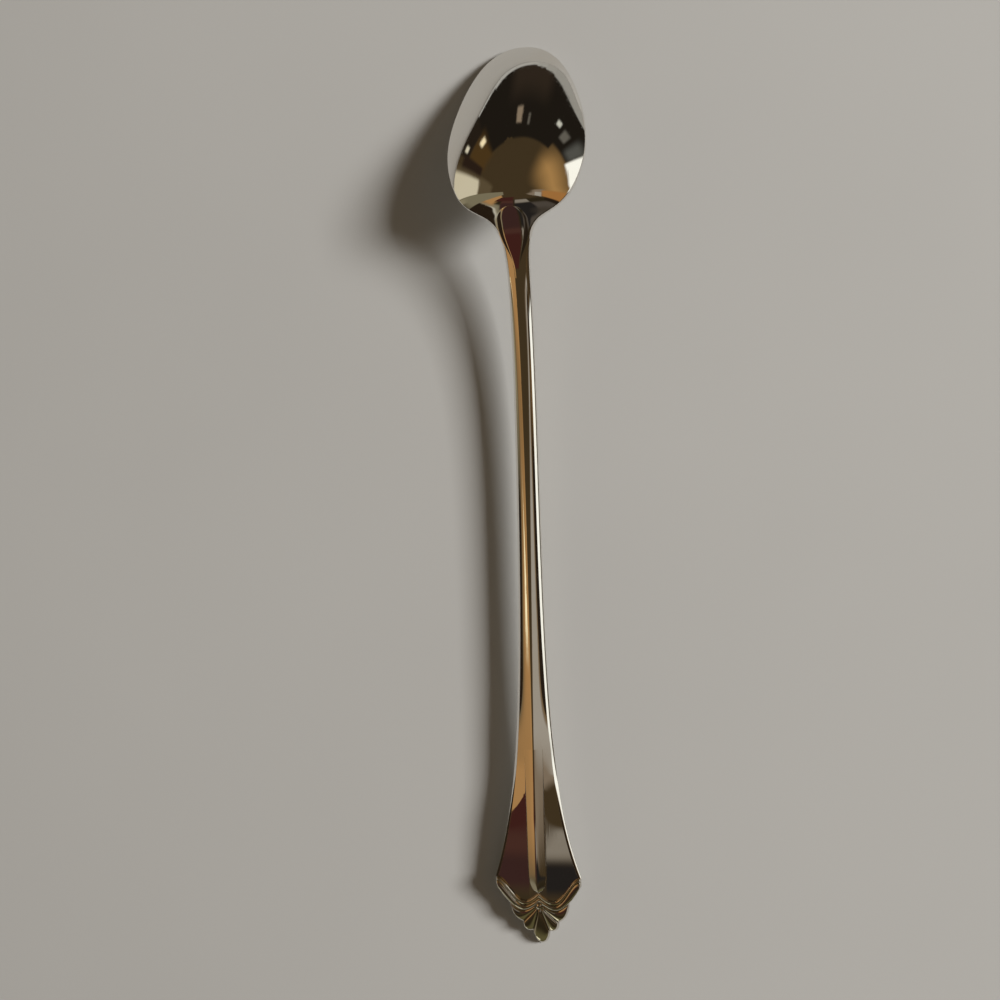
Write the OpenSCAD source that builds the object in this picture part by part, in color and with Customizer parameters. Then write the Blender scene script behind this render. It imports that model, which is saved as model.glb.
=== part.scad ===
// Iced tea spoon, lying face down on the tip of its bowl and the end of its handle.
// x runs across the spoon, y along it with the bowl at +y, and z up from the table.
// Stations (s) are distances from the tip of the bowl along the spoon, seen from above.

/* [Overall] */
// Length of the spoon, seen from above
spoon_length = 190.5; // [170:0.5:220]

/* [Bowl] */
// Length of the egg that the bowl follows
bowl_length = 38.7; // [34:0.1:44]
// Width of the bowl at its widest
bowl_width = 29.4; // [24:0.1:34]
// How far the widest place leans to the heel
egg_lean = 0.185; // [0:0.005:0.3]
// How blunt the tip and how pinched the heel is
egg_blunt = 0.17; // [0:0.005:0.3]
// Height of the back of the bowl above its rim
bowl_depth = 6.3; // [5:0.1:9]
// Fullness of the back of the bowl, where 1 is a paraboloid
bowl_fullness = 1.05; // [1:0.05:1.5]
// Slope of the rim from the tip up to the heel, in degrees
bowl_tilt = 21.4; // [15:0.1:25]
// Wall of the bowl at the rim
rim_wall = 1.5; // [1:0.1:1.8]
// Wall of the bowl in the middle
bowl_wall = 1.7; // [1:0.1:2.4]
// Width of the rounding of the rim
rim_round = 0.18; // [0:0.02:0.4]
// Depth of the flat worn under the tip of the rim, where it lies on the table
rim_wear = 0.3; // [0:0.02:0.4]

/* [Neck] */
// Distance from the heel end of the egg back to where the neck leaves it
neck_inset = 1.5; // [0.5:0.1:3.5]
// Width of the neck there
neck_width = 13.3; // [9:0.1:16]
// Length over which the neck narrows
neck_run = 2.8; // [2:0.1:5]
// Length of the neck, from where it leaves the bowl to the even stem
neck_length = 10.5; // [8:0.5:14]
// Length of the neck that lies inside the outline of the bowl
heel_length = 2; // [1.5:0.1:3]
// Length of the bowl over which its back begins to turn into the ridge
heel_blend_before = 6.5; // [5:0.5:8]
// Length of the neck over which that turn ends
heel_blend_after = 4.5; // [3:0.5:6]
// Length of the raised tongue on the heel
drop_length = 14; // [10:0.5:16]
// Width of the tongue
drop_width = 6.7; // [4:0.1:7.6]
// Height of the tongue
drop_height = 0.5; // [0.3:0.05:1.2]
// How far the round end of the tongue reaches onto the bowl
drop_lead = 1.5; // [0.5:0.1:2.5]

/* [Stem] */
// Width of the stem
stem_width = 4.5; // [3.6:0.1:6]
// Thickness of the stem at its ridge
stem_thickness = 2.8; // [2.2:0.1:4]
// Slope of the two flanks of the ridged back
ridge_slope = 0.36; // [0.1:0.01:0.45]
// Radius of the ridge
ridge_radius = 0.2; // [0.1:0.05:1]
// Width of the bevel along the edges
edge_bevel = 0.55; // [0.2:0.05:0.7]
// Fall of that bevel on the back, as a slope
bevel_slope = 0.65; // [0.3:0.05:0.8]
// Height of the back of the stem at the low middle of its arch
arch_height = 6.9; // [6:0.1:9]
// Rise of the back from the middle of the arch to the neck
neck_rise = 8.5; // [6:0.1:10]
// Length over which that rise fades
neck_fade = 16; // [12:1:24]
// Hollow of the face across the stem
stem_hollow = 0.3; // [0:0.05:0.5]

/* [Handle end] */
// Width of the handle at its corners
flare_width = 19.6; // [14:0.1:24]
// Length over which the handle widens
flare_run = 20.4; // [14:0.1:28]
// Station where the panels begin beside the rib
panel_station = 148; // [130:1:152]
// Length over which the flanks of the ridge flatten into the panels
panel_fade = 18; // [12:0.5:24]
// Thickness of the handle end at its ridge
panel_thickness = 2.4; // [1.9:0.1:3.4]
// Distance from the edge of the stem in to the edge of the rib
rib_inset = 0.3; // [0.1:0.05:0.8]
// Step between the rib and the panels
rib_step = 0.15; // [0.05:0.01:0.3]
// Fall of the panels from the rib out to the edge, as a slope
panel_slope = 0.05; // [0:0.01:0.1]
// Hollow of the face across the handle end
panel_hollow = 0.1; // [0:0.05:0.3]
// Length over which the end of the handle bends down
tip_fade = 11; // [8:0.2:16]
// Depth of the flat worn under the end of the handle, where it lies on the table
tip_wear = 0.12; // [0:0.02:0.3]

/* [Shell ornament] */
// Length of the ornament from the corners of the handle to the tip
tip_length = 13.4; // [11:0.1:16]
// Distance from the corners to the bead at the root of the shell
bead_v = 4.6; // [4.4:0.1:5.4]
// Half thickness of the ornament in its valleys
valley_half = 0.62; // [0.5:0.02:0.8]
// Height of the rolls above the valleys
roll_height = 0.45; // [0.2:0.05:0.8]
// Height of the lobes above the valleys
lobe_height = 0.6; // [0.2:0.05:0.9]
// Height of the relief on the face, as a share of that on the back
face_relief = 0.7; // [0.3:0.05:1]
// Radius of the bead at the root of the shell
bead_radius = 0.75; // [0.5:0.05:0.9]
// Gap between the bead and what is round it
bead_clearance = 0.03; // [0.02:0.01:0.1]
// Gap under the tongue of the heel
seat_clearance = 0.03; // [0.02:0.01:0.1]

/* [Hidden] */

// Stations that divide the spoon into its zones
neck_station = bowl_length - neck_inset;
heel_station = neck_station - heel_length;
stem_station = neck_station + neck_length;
corner_station = spoon_length - tip_length;
bowl_centre_share = 0.58;
bowl_centre = bowl_length * bowl_centre_share;

// Where the form changes from bowl to stem
heel_blend_start = neck_station - heel_blend_before;
heel_blend_end = neck_station + heel_blend_after;

// Rib and mid plane of the ornament, below the ridge
rib_half = stem_width / 2 - rib_inset;
tip_mid = panel_thickness / 2 + panel_hollow;

// The handle bends down until the middle lobe touches the table, at this share of the lobe's length
contact_share = 0.9;
contact_back = (1 - contact_share) * (tip_length - bead_v - bead_radius);
lobe_under = valley_half + lobe_height * face_relief * lobe_profile(contact_share);
tip_drop = (arch_height - tip_mid - lobe_under + tip_wear) * exp(contact_back / tip_fade);

// Steps of the lofts
rim_steps = 48;
section_steps = 12;
bowl_rings = [0.18, 0.36, 0.52, 0.66, 0.78, 0.87, 0.94, 1];
face_rings = [1, 0.92, 0.8, 0.64, 0.45, 0.22];
across_steps = 6;
panel_across = 9;
ornament_across = 8;

// Curves that give the shape

function clamp(v, low, high) = min(high, max(low, v));
function ease(a, b, v) = let (t = clamp((v - a) / (b - a), 0, 1)) t * t * t * (t * (6 * t - 15) + 10);
function tanh(v) = 1 - 2 / (exp(2 * v) + 1);
function mix(a, b, t) = a + (b - a) * t;
function unit(v) = v / norm(v);

// Half width of the egg, for q from -1 at the tip to 1 at the heel
function egg(q) = sqrt(max(0, 1 - q * q)) * (1 + egg_lean * q - egg_blunt * q * q * q);
egg_peak = max([for (i = [-100:100]) egg(i / 100)]);
function bowl_half(s) = bowl_width / 2 * egg(clamp(2 * s / bowl_length - 1, -1, 1)) / egg_peak;

// Half widths of the neck and of the flared handle
function neck_flare(d) = d > 0 ? exp(-d) : 1 + tanh(-d);
function neck_half(s) =
    stem_width / 2 + (neck_width - stem_width) / 2 * neck_flare((s - neck_station) / neck_run);
function handle_flare(s) = (flare_width - stem_width) / 2 * exp((s - corner_station) / flare_run);
blend_power = 7;
function half_width(s) =
    let (neck_part = neck_half(s) * ease(0, neck_station, s))
    pow(pow(bowl_half(s), blend_power) + pow(neck_part, blend_power), 1 / blend_power) + handle_flare(s);

// Height of the rim, and of the ridge along the stem
function ridge_z(s) =
    arch_height + neck_rise * exp((neck_station - s) / neck_fade)
    - tip_drop * exp((s - spoon_length) / tip_fade);
function rim_z(s) = rim_lift + s * tan(bowl_tilt);

// Height of the back over the rim, from 0 at the rim to the bowl's depth in its middle
function hollow(s, x) = max(0, pow(half_width(s), 2) - x * x) / pow(bowl_width / 2, 2);
function dome(s, x) = bowl_depth * (1 - pow(max(0, 1 - hollow(s, x)), bowl_fullness));
function roof(x) = ridge_slope * (sqrt(x * x + ridge_radius * ridge_radius) - ridge_radius);
function back_z(s, x) =
    let (b = ease(heel_blend_start, heel_blend_end, s))
    mix(rim_z(s) + dome(s, x), ridge_z(s) - roof(x), b);

// The rim lies on the table with the flat on its inner edge at the tip
difference_step = 0.02;
normal_inset = 0.985;
tip_probe = bowl_centre * (1 - normal_inset);
tip_slope = tan(bowl_tilt)
    + (dome(tip_probe + difference_step, 0) - dome(tip_probe - difference_step, 0)) / (2 * difference_step);
rim_lift = rim_wall / sqrt(1 + tip_slope * tip_slope) - rim_wear;

// Back of the panels, level under the rib and falling to the edges
function panel_share(s) = ease(panel_station, panel_station + panel_fade, s);
function step_at(s) = rib_step * panel_share(s);
function slope_at(s) = mix(ridge_slope, panel_slope, panel_share(s));
function bed_z(s) = ridge_z(s) - roof(rib_half) - step_at(s);
function panel_z(s, x) = bed_z(s) - slope_at(s) * max(0, abs(x) - rib_half);

// Thickness through the neck, stem and handle
function ridge_thickness(s) =
    mix(mix(bowl_wall, stem_thickness, ease(heel_blend_start, stem_station, s)),
        panel_thickness, ease(panel_station, corner_station, s));
function edge_lift(s) = mix(stem_hollow, panel_hollow, ease(panel_station, corner_station, s));
function face_z(s, x) =
    let (w = half_width(s), wall = mix(rim_wall, edge_lift(s), ease(heel_blend_start, stem_station, s)))
    s < stem_station
        ? back_z(s, x) - mix(ridge_thickness(s) + (rim_wall - bowl_wall) * pow(x / w, 2),
                             ridge_thickness(s) - roof(x) - wall * pow(x / w, 2),
                             ease(heel_blend_start, stem_station, s))
        : ridge_z(s) - ridge_thickness(s) + edge_lift(s) * pow(x / w, 2);

// A place on the spoon, and the same for what is worn flat on the table
function place(s, x, z) = [x, spoon_length / 2 - s, z];
function above_table(p) = [p[0], p[1], max(0, p[2])];

// Solids from grids of points

// Closed solid between an upper and a lower grid of points with the same rows and columns.
// Rows run along the spoon away from the bowl, columns from -x to +x.
module slab(upper, lower) {
    rows = len(upper);
    cols = len(upper[0]);
    count = rows * cols;
    function at(i, j) = i * cols + j;
    points = concat([for (row = upper) each row], [for (row = lower) each row]);
    faces = [
        for (i = [0:rows - 2], j = [0:cols - 2]) each [
            [at(i, j), at(i, j + 1), at(i + 1, j + 1)],
            [at(i, j), at(i + 1, j + 1), at(i + 1, j)],
            [count + at(i, j), count + at(i + 1, j + 1), count + at(i, j + 1)],
            [count + at(i, j), count + at(i + 1, j), count + at(i + 1, j + 1)]
        ],
        for (j = [0:cols - 2]) each [
            [at(0, j), count + at(0, j), count + at(0, j + 1)],
            [at(0, j), count + at(0, j + 1), at(0, j + 1)],
            [at(rows - 1, j), count + at(rows - 1, j + 1), count + at(rows - 1, j)],
            [at(rows - 1, j), at(rows - 1, j + 1), count + at(rows - 1, j + 1)]
        ],
        for (i = [0:rows - 2]) each [
            [at(i, 0), count + at(i + 1, 0), count + at(i, 0)],
            [at(i, 0), at(i + 1, 0), count + at(i + 1, 0)],
            [at(i, cols - 1), count + at(i, cols - 1), count + at(i + 1, cols - 1)],
            [at(i, cols - 1), count + at(i + 1, cols - 1), at(i + 1, cols - 1)]
        ]
    ];
    polyhedron(points, faces, convexity = 6);
}

// Closed solid through rings of points, from one pole to the other
module shell(rings, first, last) {
    cols = len(rings[0]);
    rows = len(rings);
    points = concat([for (ring = rings) each ring], [first, last]);
    top = rows * cols;
    function at(i, j) = i * cols + j % cols;
    faces = [
        for (j = [0:cols - 1]) each [
            [top, at(0, j), at(0, j + 1)],
            [top + 1, at(rows - 1, j + 1), at(rows - 1, j)]
        ],
        for (i = [0:rows - 2], j = [0:cols - 1]) each [
            [at(i, j), at(i + 1, j), at(i + 1, j + 1)],
            [at(i, j), at(i + 1, j + 1), at(i, j + 1)]
        ]
    ];
    polyhedron(points, faces, convexity = 6);
}

// Bowl

// Outline of the bowl as [x, s], from the heel round the tip and back along the heel
function rim_station(t) = heel_station * (1 - cos(90 * abs(t)));
bowl_outline = concat(
    [for (i = [0:rim_steps])
        let (t = 2 * i / rim_steps - 1, s = rim_station(t)) [sign(t) * half_width(s), s]],
    [for (i = [1:section_steps - 1])
        [mix(1, -1, i / section_steps) * half_width(heel_station), heel_station]]
);
function in_bowl(q, r) = [q[0] * r, mix(bowl_centre, q[1], r)];

// Direction through the wall, square to the back, and upright at the heel
function back_normal(p) =
    let (x = p[0] * normal_inset, s = mix(bowl_centre, p[1], normal_inset), h = difference_step)
    unit([back_z(s, x - h) - back_z(s, x + h), back_z(s + h, x) - back_z(s - h, x), 2 * h]);
function wall_direction(p) =
    let (b = ease(bowl_centre, heel_station, p[1])) unit(mix(back_normal(p), [0, 0, 1], b));
function wall_at(p) =
    let (u = min(1, hollow(p[1], p[0])), b = ease(bowl_centre, heel_station, p[1]))
    mix(mix(rim_wall, bowl_wall, u), back_z(p[1], p[0]) - face_z(p[1], p[0]), b);
function back_point(p) = place(p[1], p[0], back_z(p[1], p[0]));
function face_point(p) = above_table(back_point(p) - wall_at(p) * wall_direction(p));
function rim_point(q) =
    let (out = unit([q[0], bowl_centre - q[1], 0]), on_rim = q[1] < heel_station ? 1 : 0)
    (back_point(q) + face_point(q)) / 2 + rim_round * on_rim * out;

module bowl() {
    rings = concat(
        [for (r = bowl_rings) [for (q = bowl_outline) back_point(in_bowl(q, r))]],
        [[for (q = bowl_outline) rim_point(q)]],
        [for (r = face_rings) [for (q = bowl_outline) face_point(in_bowl(q, r))]]
    );
    centre = [0, bowl_centre];
    color("silver") shell(rings, back_point(centre), face_point(centre));
}

// Neck and stem

// Columns across a section, as shares of the half width between the bevels
section_shares = [for (j = [-across_steps:across_steps]) j / across_steps];

function section_xs(s) =
    let (w = half_width(s), inner = w - edge_bevel)
    concat([-w], [for (share = section_shares) share * inner], [w]);
bevel_fall = edge_bevel * bevel_slope;
face_bevel_share = 0.5;
function bevel_at(s, x) =
    abs(x) > half_width(s) - edge_bevel / 2 ? bevel_fall * ease(heel_blend_start, stem_station, s) : 0;
function back_row(s) = [for (x = section_xs(s)) place(s, x, back_z(s, x) - bevel_at(s, x))];
function face_row(s) = [for (x = section_xs(s))
    place(s, x, face_z(s, x) + face_bevel_share * bevel_at(s, x))];

module neck() {
    steps = 16;
    stations = [for (i = [0:steps]) mix(heel_station, stem_station, i / steps)];
    color("gainsboro") slab([for (s = stations) back_row(s)], [for (s = stations) face_row(s)]);
}

module stem() {
    steps = 28;
    stations = [for (i = [0:steps]) mix(stem_station, panel_station, i / steps)];
    color("lightgray") slab([for (s = stations) back_row(s)], [for (s = stations) face_row(s)]);
}

// Tongue on the heel: a round end on the bowl side, narrowing into the ridge of the stem
drop_station = neck_station - drop_lead;
drop_round_share = 0.4;
drop_round = drop_width * drop_round_share;
drop_tail = 0.16;
drop_edge = 0.06;
drop_fade_from = 0.35;
drop_nose = 6;
drop_crowding = 1.6;
function drop_half(s) =
    let (d = s - drop_station, rest = (d - drop_round) / (drop_length - drop_round))
    d < drop_round
        ? drop_width / 2 * sqrt(1 - pow(1 - d / drop_round, 2))
        : drop_width / 2 * mix(1, drop_tail, ease(0, 1, rest));
function drop_rise(s) =
    let (d = (s - drop_station) / drop_length)
    drop_height * (1 - ease(drop_fade_from, 1, d)) * sqrt(min(1, drop_nose * d));
function drop_crown(share) = sqrt(1 - pow(share, 4));

module heel_drop() {
    steps = 14;
    span = drop_length - 2 * drop_edge;
    stations = [for (i = [0:steps]) drop_station + drop_edge + span * pow(i / steps, drop_crowding)];
    shares = [-1, -0.93, -0.8, -0.5, 0, 0.5, 0.8, 0.93, 1];
    function seat(s, x) = back_z(s, x) + seat_clearance;
    upper = [for (s = stations) [for (share = shares) let (x = share * drop_half(s))
        place(s, x, seat(s, x) + drop_edge + drop_rise(s) * drop_crown(share))]];
    lower = [for (s = stations) [for (share = shares) let (x = share * drop_half(s))
        place(s, x, seat(s, x))]];
    color("darkgray") slab(upper, lower);
}

// Bracket-shaped borders of the ornament, as distances past the corners for a place across

// A border dips from its middle to a trough and climbs to the corner
function dip(x, middle, trough, reach) = middle + (trough - middle) * sin(90 * min(1, x / reach));
function climb(x, trough, corner, reach, power) =
    let (t = clamp((x - reach) / (border_half - reach), 0, 1))
    power > 0 ? mix(trough, corner, pow(t, power)) : mix(trough, corner, (1 - cos(180 * t)) / 2);
function border(x, b) =
    abs(x) < b[3] ? dip(abs(x), b[0], b[1], b[3]) : climb(abs(x), b[1], b[2], b[3], b[4]);

// Each border: distance in the middle, at its trough and at the corner,
// then the place of the trough and the power of the climb
upper_border = [1.7, 3.5, -1.6, 3.1, 0];
middle_border = [2.8, 4.5, -0.9, 3.3, 0];
lower_border = [3.9, 5.7, 0, 3.6, 1.7];
border_half = half_width(corner_station + upper_border[2]);
function upper_v(x) = border(x, upper_border);
function middle_v(x) = border(x, middle_border);
// The lower border also makes way for the bead
function lower_v(x) =
    let (v = border(x, lower_border))
    abs(x) < bead_radius ? min(v, bead_v - sqrt(bead_radius * bead_radius - x * x)) : v;

module handle_panel() {
    steps = 24;
    shares = [for (j = [0:panel_across]) j / panel_across];
    end_station = corner_station + upper_border[2];
    function edge_s(i) = mix(panel_station, end_station, i / steps);
    function xs(i) =
        let (w = half_width(edge_s(i)), inner = w - edge_bevel)
        concat([-w], [for (t = shares) -mix(inner, rib_half, t)],
               [for (t = shares) mix(rib_half, inner, t)], [w]);
    function s_at(i, x) =
        let (w = half_width(edge_s(i)), reach = corner_station + upper_v(x / w * border_half))
        mix(panel_station, reach, i / steps);
    function bevel(i, x) = abs(x) > half_width(edge_s(i)) - edge_bevel / 2 ? bevel_fall : 0;
    upper = [for (i = [0:steps]) [for (x = xs(i)) let (s = s_at(i, x))
        place(s, x, panel_z(s, x) - bevel(i, x))]];
    lower = [for (i = [0:steps]) [for (x = xs(i)) let (s = s_at(i, x))
        place(s, x, panel_face(s, x) + face_bevel_share * bevel(i, x))]];
    color("silver") slab(upper, lower);
}
function panel_face(s, x) =
    ridge_z(s) - ridge_thickness(s) + edge_lift(s) * pow(min(1, abs(x) / half_width(s)), 2);

// Rib on the handle, with a rounded tongue at its end
tongue_round = 4;
tongue_end = 0.02;
rib_least = 0.02;
rib_crowding = 1.3;
function rib_half_at(s, last) =
    let (d = min(1, (last - s) / tongue_round)) rib_half * sqrt(max(tongue_end, 1 - pow(1 - d, 2)));

module spine_rib() {
    steps = 40;
    last = corner_station + upper_border[0];
    shares = [-1, -0.75, -0.5, -0.25, -0.1, 0, 0.1, 0.25, 0.5, 0.75, 1];
    stations = [for (i = [0:steps]) mix(panel_station, last, 1 - pow(1 - i / steps, rib_crowding))];
    function half(s) = rib_half_at(s, last);
    function crest(s, share) =
        let (rise = roof(rib_half) - roof(share * rib_half))
        ridge_z(s) - roof(rib_half) + rise * sqrt(half(s) / rib_half);
    upper = [for (s = stations) [for (share = shares)
        place(s, share * half(s), max(bed_z(s) + rib_least, crest(s, share)))]];
    lower = [for (s = stations) [for (share = shares) place(s, share * half(s), bed_z(s))]];
    color("gainsboro") slab(upper, lower);
}

// Shell ornament

// Place on the ornament from [x, distance past the corners] and the height off the mid plane
function tip_place(p, off) =
    let (s = corner_station + p[1]) above_table(place(s, p[0], ridge_z(s) - tip_mid + off));
function swell(q) = pow(max(0, 1 - pow(2 * q - 1, 2)), 0.6);

// Heights that differ within the ornament, as shares of the roll and lobe heights
roll_end = 0.55;
thin_roll = 0.75;
side_share = 0.85;
petal_share = 0.7;
bead_share = 0.8;

// A piece of the ornament: a grid of [x, v] points with columns across, and its relief above the valleys
module relief(grid, height) {
    rows = len(grid) - 1;
    cols = len(grid[0]) - 1;
    function rise(i, j) = height(i / rows, j / cols);
    function back_off(i, j) = valley_half + rise(i, j);
    function face_off(i, j) = -valley_half - face_relief * rise(i, j);
    slab([for (i = [0:rows]) [for (j = [0:cols]) tip_place(grid[i][j], back_off(i, j))]],
         [for (i = [0:rows]) [for (j = [0:cols]) tip_place(grid[i][j], face_off(i, j))]]);
}

// Roll between two borders, on the +x side
module roll(first, second, height) {
    steps = 22;
    xs = [for (j = [0:steps]) border_half * j / steps];
    grid = [for (i = [0:ornament_across]) [for (x = xs)
        [x, mix(first(x), second(x), i / ornament_across)]]];
    relief(grid, function (q, along) height * swell(q) * mix(1, roll_end, pow(along, 3)));
}

module upper_roll_right()
    color("gray") roll(function (x) upper_v(x), function (x) middle_v(x), roll_height * thin_roll);
module upper_roll_left() mirror([1, 0, 0]) upper_roll_right();
module lower_roll_right()
    color("dimgray") roll(function (x) middle_v(x), function (x) lower_v(x), roll_height);
module lower_roll_left() mirror([1, 0, 0]) lower_roll_right();

// The lobes fan out round the bead. Angles are from the axis, towards +x.
centre_angle = 17;
side_angle = 45.5;
centre_notch = 6.2;
side_notch = 5.5;
centre_bulge = tip_length - bead_v - centre_notch;
side_bulge = 0.65;
function ray(angle, r) = [r * sin(angle), bead_v + r * cos(angle)];

// Relief along a lobe, from its root to its rounded end
function lobe_profile(along) = sqrt(max(0, 1 - pow(2 * along - 1, 8))) * mix(0.6, 1, along);

// Lobe between two rays, with a scalloped end that bulges past its two notches
module lobe(from, to, notch_from, notch_to, bulge, height) {
    rows = 10;
    function angle(q) = mix(from, to, q);
    function reach(q) = mix(notch_from, notch_to, q) + bulge * sin(180 * q);
    grid = [for (i = [0:rows]) [for (j = [0:ornament_across])
        let (q = j / ornament_across) ray(angle(q), mix(bead_radius, reach(q), i / rows))]];
    relief(grid, function (along, q) height * swell(q) * lobe_profile(along));
}

module centre_lobe()
    color("gray") lobe(-centre_angle, centre_angle, centre_notch, centre_notch, centre_bulge, lobe_height);
module side_lobe_right()
    color("darkgray")
        lobe(centre_angle, side_angle, centre_notch, side_notch, side_bulge, lobe_height * side_share);
module side_lobe_left() mirror([1, 0, 0]) side_lobe_right();

// Petal between the side lobe and the lower roll, on the +x side.
// It spreads from the bead to its own rounded end, and its upper side follows the roll.
petal_bulge = 0.8;
petal_reach = 0.7;
petal_end = border_half * petal_reach;
petal_lean = 48;
petal_out = [cos(petal_lean), sin(petal_lean)];
petal_angle = 111;
module petal_right() {
    rows = 10;
    petal_start = bead_radius * sin(petal_angle);
    function on_roll(t) = let (x = mix(petal_start, petal_end, t)) [x, lower_v(x)];
    function root(q) = ray(mix(side_angle, petal_angle, q), bead_radius);
    function end(q) =
        mix(ray(side_angle, side_notch), on_roll(1), q) + petal_out * petal_bulge * sin(180 * q);
    function at(t, q) = mix(root(q), end(q), t) + q * (on_roll(t) - mix(root(1), end(1), t));
    grid = [for (i = [0:rows]) [for (j = [0:ornament_across]) at(i / rows, j / ornament_across)]];
    height = lobe_height * petal_share;
    color("silver") relief(grid, function (along, q) height * swell(q) * lobe_profile(along));
}
module petal_left() mirror([1, 0, 0]) petal_right();

// Bead at the root of the lobes, a ball cut to a short post
module root_bead() {
    ball = valley_half + lobe_height * bead_share;
    color("white") translate(tip_place([0, bead_v], 0)) rotate_extrude($fn = 32) intersection() {
        circle(r = ball, $fn = 48);
        translate([0, -ball]) square([bead_radius - bead_clearance, 2 * ball]);
    }
}

bowl();
neck();
heel_drop();
stem();
handle_panel();
spine_rib();
upper_roll_left();
upper_roll_right();
lower_roll_left();
lower_roll_right();
petal_left();
petal_right();
side_lobe_left();
side_lobe_right();
centre_lobe();
root_bead();
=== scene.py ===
"""Looks of an iced tea spoon that lies face down on a pale table.

Every piece is a closed mesh made from the spoon's own curves, at a finer step than the solids, so that
the polished metal mirrors the room without facets. Curves are in millimetres, and stations run from the
tip of the bowl to the end of the handle. Meshes are in metres, in the frame of the solids.
"""

import logging
import math
from collections.abc import Callable
from dataclasses import dataclass, field
from enum import Enum
from functools import cached_property
from typing import Any

import bpy
import numpy as np
from mathutils import Matrix, Vector

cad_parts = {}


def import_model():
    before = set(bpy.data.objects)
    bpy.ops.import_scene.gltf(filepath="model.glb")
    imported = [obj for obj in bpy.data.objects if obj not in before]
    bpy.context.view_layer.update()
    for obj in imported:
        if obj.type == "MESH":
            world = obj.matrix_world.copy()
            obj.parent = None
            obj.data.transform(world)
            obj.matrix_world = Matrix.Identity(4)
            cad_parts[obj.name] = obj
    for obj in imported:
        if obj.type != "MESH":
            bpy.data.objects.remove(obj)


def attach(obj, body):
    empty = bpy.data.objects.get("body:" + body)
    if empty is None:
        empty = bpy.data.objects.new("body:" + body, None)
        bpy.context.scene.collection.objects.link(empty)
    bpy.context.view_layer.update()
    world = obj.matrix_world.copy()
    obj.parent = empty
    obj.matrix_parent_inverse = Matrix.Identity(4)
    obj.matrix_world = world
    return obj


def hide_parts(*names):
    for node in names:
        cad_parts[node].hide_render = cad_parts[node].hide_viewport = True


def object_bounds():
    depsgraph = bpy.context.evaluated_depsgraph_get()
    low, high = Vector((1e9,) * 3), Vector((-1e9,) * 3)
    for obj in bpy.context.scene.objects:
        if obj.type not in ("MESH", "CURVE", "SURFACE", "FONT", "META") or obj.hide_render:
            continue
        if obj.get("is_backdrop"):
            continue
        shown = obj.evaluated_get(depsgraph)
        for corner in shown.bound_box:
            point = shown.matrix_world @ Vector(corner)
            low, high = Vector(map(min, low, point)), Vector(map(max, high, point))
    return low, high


MM = 0.001
BODY = "root"
VALLEY = "valley"
LOG = logging.getLogger("spoon")
Array = np.ndarray
Pair = tuple[Array, Array]
Surface = Callable[[Array, Array], Array]
Range = tuple[float, float]
Triple = tuple[float, float, float]
UP = np.array([0.0, 0.0, 1.0])
EDGE_START = 0.03


class Side(Enum):
    """Side of the spoon, as the sign of x."""

    LEFT = -1
    RIGHT = 1

    @property
    def word(self) -> str:
        """Name of the side in the names of the pieces."""
        return self.name.lower()


class Slot(Enum):
    """Material slots of the pieces."""

    POLISHED = "polished_metal"
    RELIEF = "relief_metal"


# Small curves


def mix(a: Array, b: Array, share: Array) -> Array:
    """Blend of two values."""
    return a + (b - a) * share


def ease(start: float, end: float, value: Array) -> Array:
    """Smooth step from 0 at start to 1 at end, with no jump in slope or bend."""
    t = np.clip((value - start) / (end - start), 0.0, 1.0)
    return t * t * t * (t * (6 * t - 15) + 10)


def unit(vectors: Array) -> Array:
    """Vectors scaled to a length of 1."""
    length = np.linalg.norm(vectors, axis=-1, keepdims=True)
    return vectors / np.maximum(length, 1e-12)


def cosine_steps(count: int) -> Array:
    """Shares from 0 to 1 that crowd at both ends."""
    return (1 - np.cos(np.pi * np.arange(count + 1) / count)) / 2


def round_off(distance: Array, radius: float) -> Array:
    """Share of the full height at a distance in from a rounded edge."""
    t = np.clip(distance / radius, 0.0, 1.0)
    return np.sqrt(1 - (1 - t) ** 2)


def slope_along(points: Array, axis: int, closed: bool = False) -> Array:
    """Direction of a grid of points along one of its axes, for uneven steps.

    Args:
        points: Grid of points, rows by columns by 3.
        axis: 0 for the direction from row to row, 1 from column to column.
        closed: Whether the last point on that axis meets the first.

    Returns:
        A direction at each point.
    """
    grid = np.moveaxis(points, axis, 0)
    if closed:
        grid = np.concatenate([grid[-1:], grid, grid[:1]])
    else:
        grid = np.concatenate([2 * grid[:1] - grid[1:2], grid, 2 * grid[-1:] - grid[-2:-1]])
    step = np.diff(grid, axis=0)
    size = np.maximum(np.linalg.norm(step, axis=-1, keepdims=True), 1e-9)
    before, after = size[:-1], size[1:]
    slope = (step[:-1] / before * after + step[1:] / after * before) / (before + after)
    return np.moveaxis(slope, 0, axis)


def grid_normals(points: Array, outward: Array, closed: bool = False) -> Array:
    """Normals of a grid of points.

    Args:
        points: Grid of points, rows by columns by 3.
        outward: Rough direction out of the surface, one for all points or one for each.
        closed: Whether the last column meets the first.

    Returns:
        A unit normal at each point, on the side that outward points to.
    """
    normals = unit(np.cross(slope_along(points, 0), slope_along(points, 1, closed)))
    side = np.sign(np.sum(normals * outward, axis=-1).sum())
    return normals * side


# Form of the spoon


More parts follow.
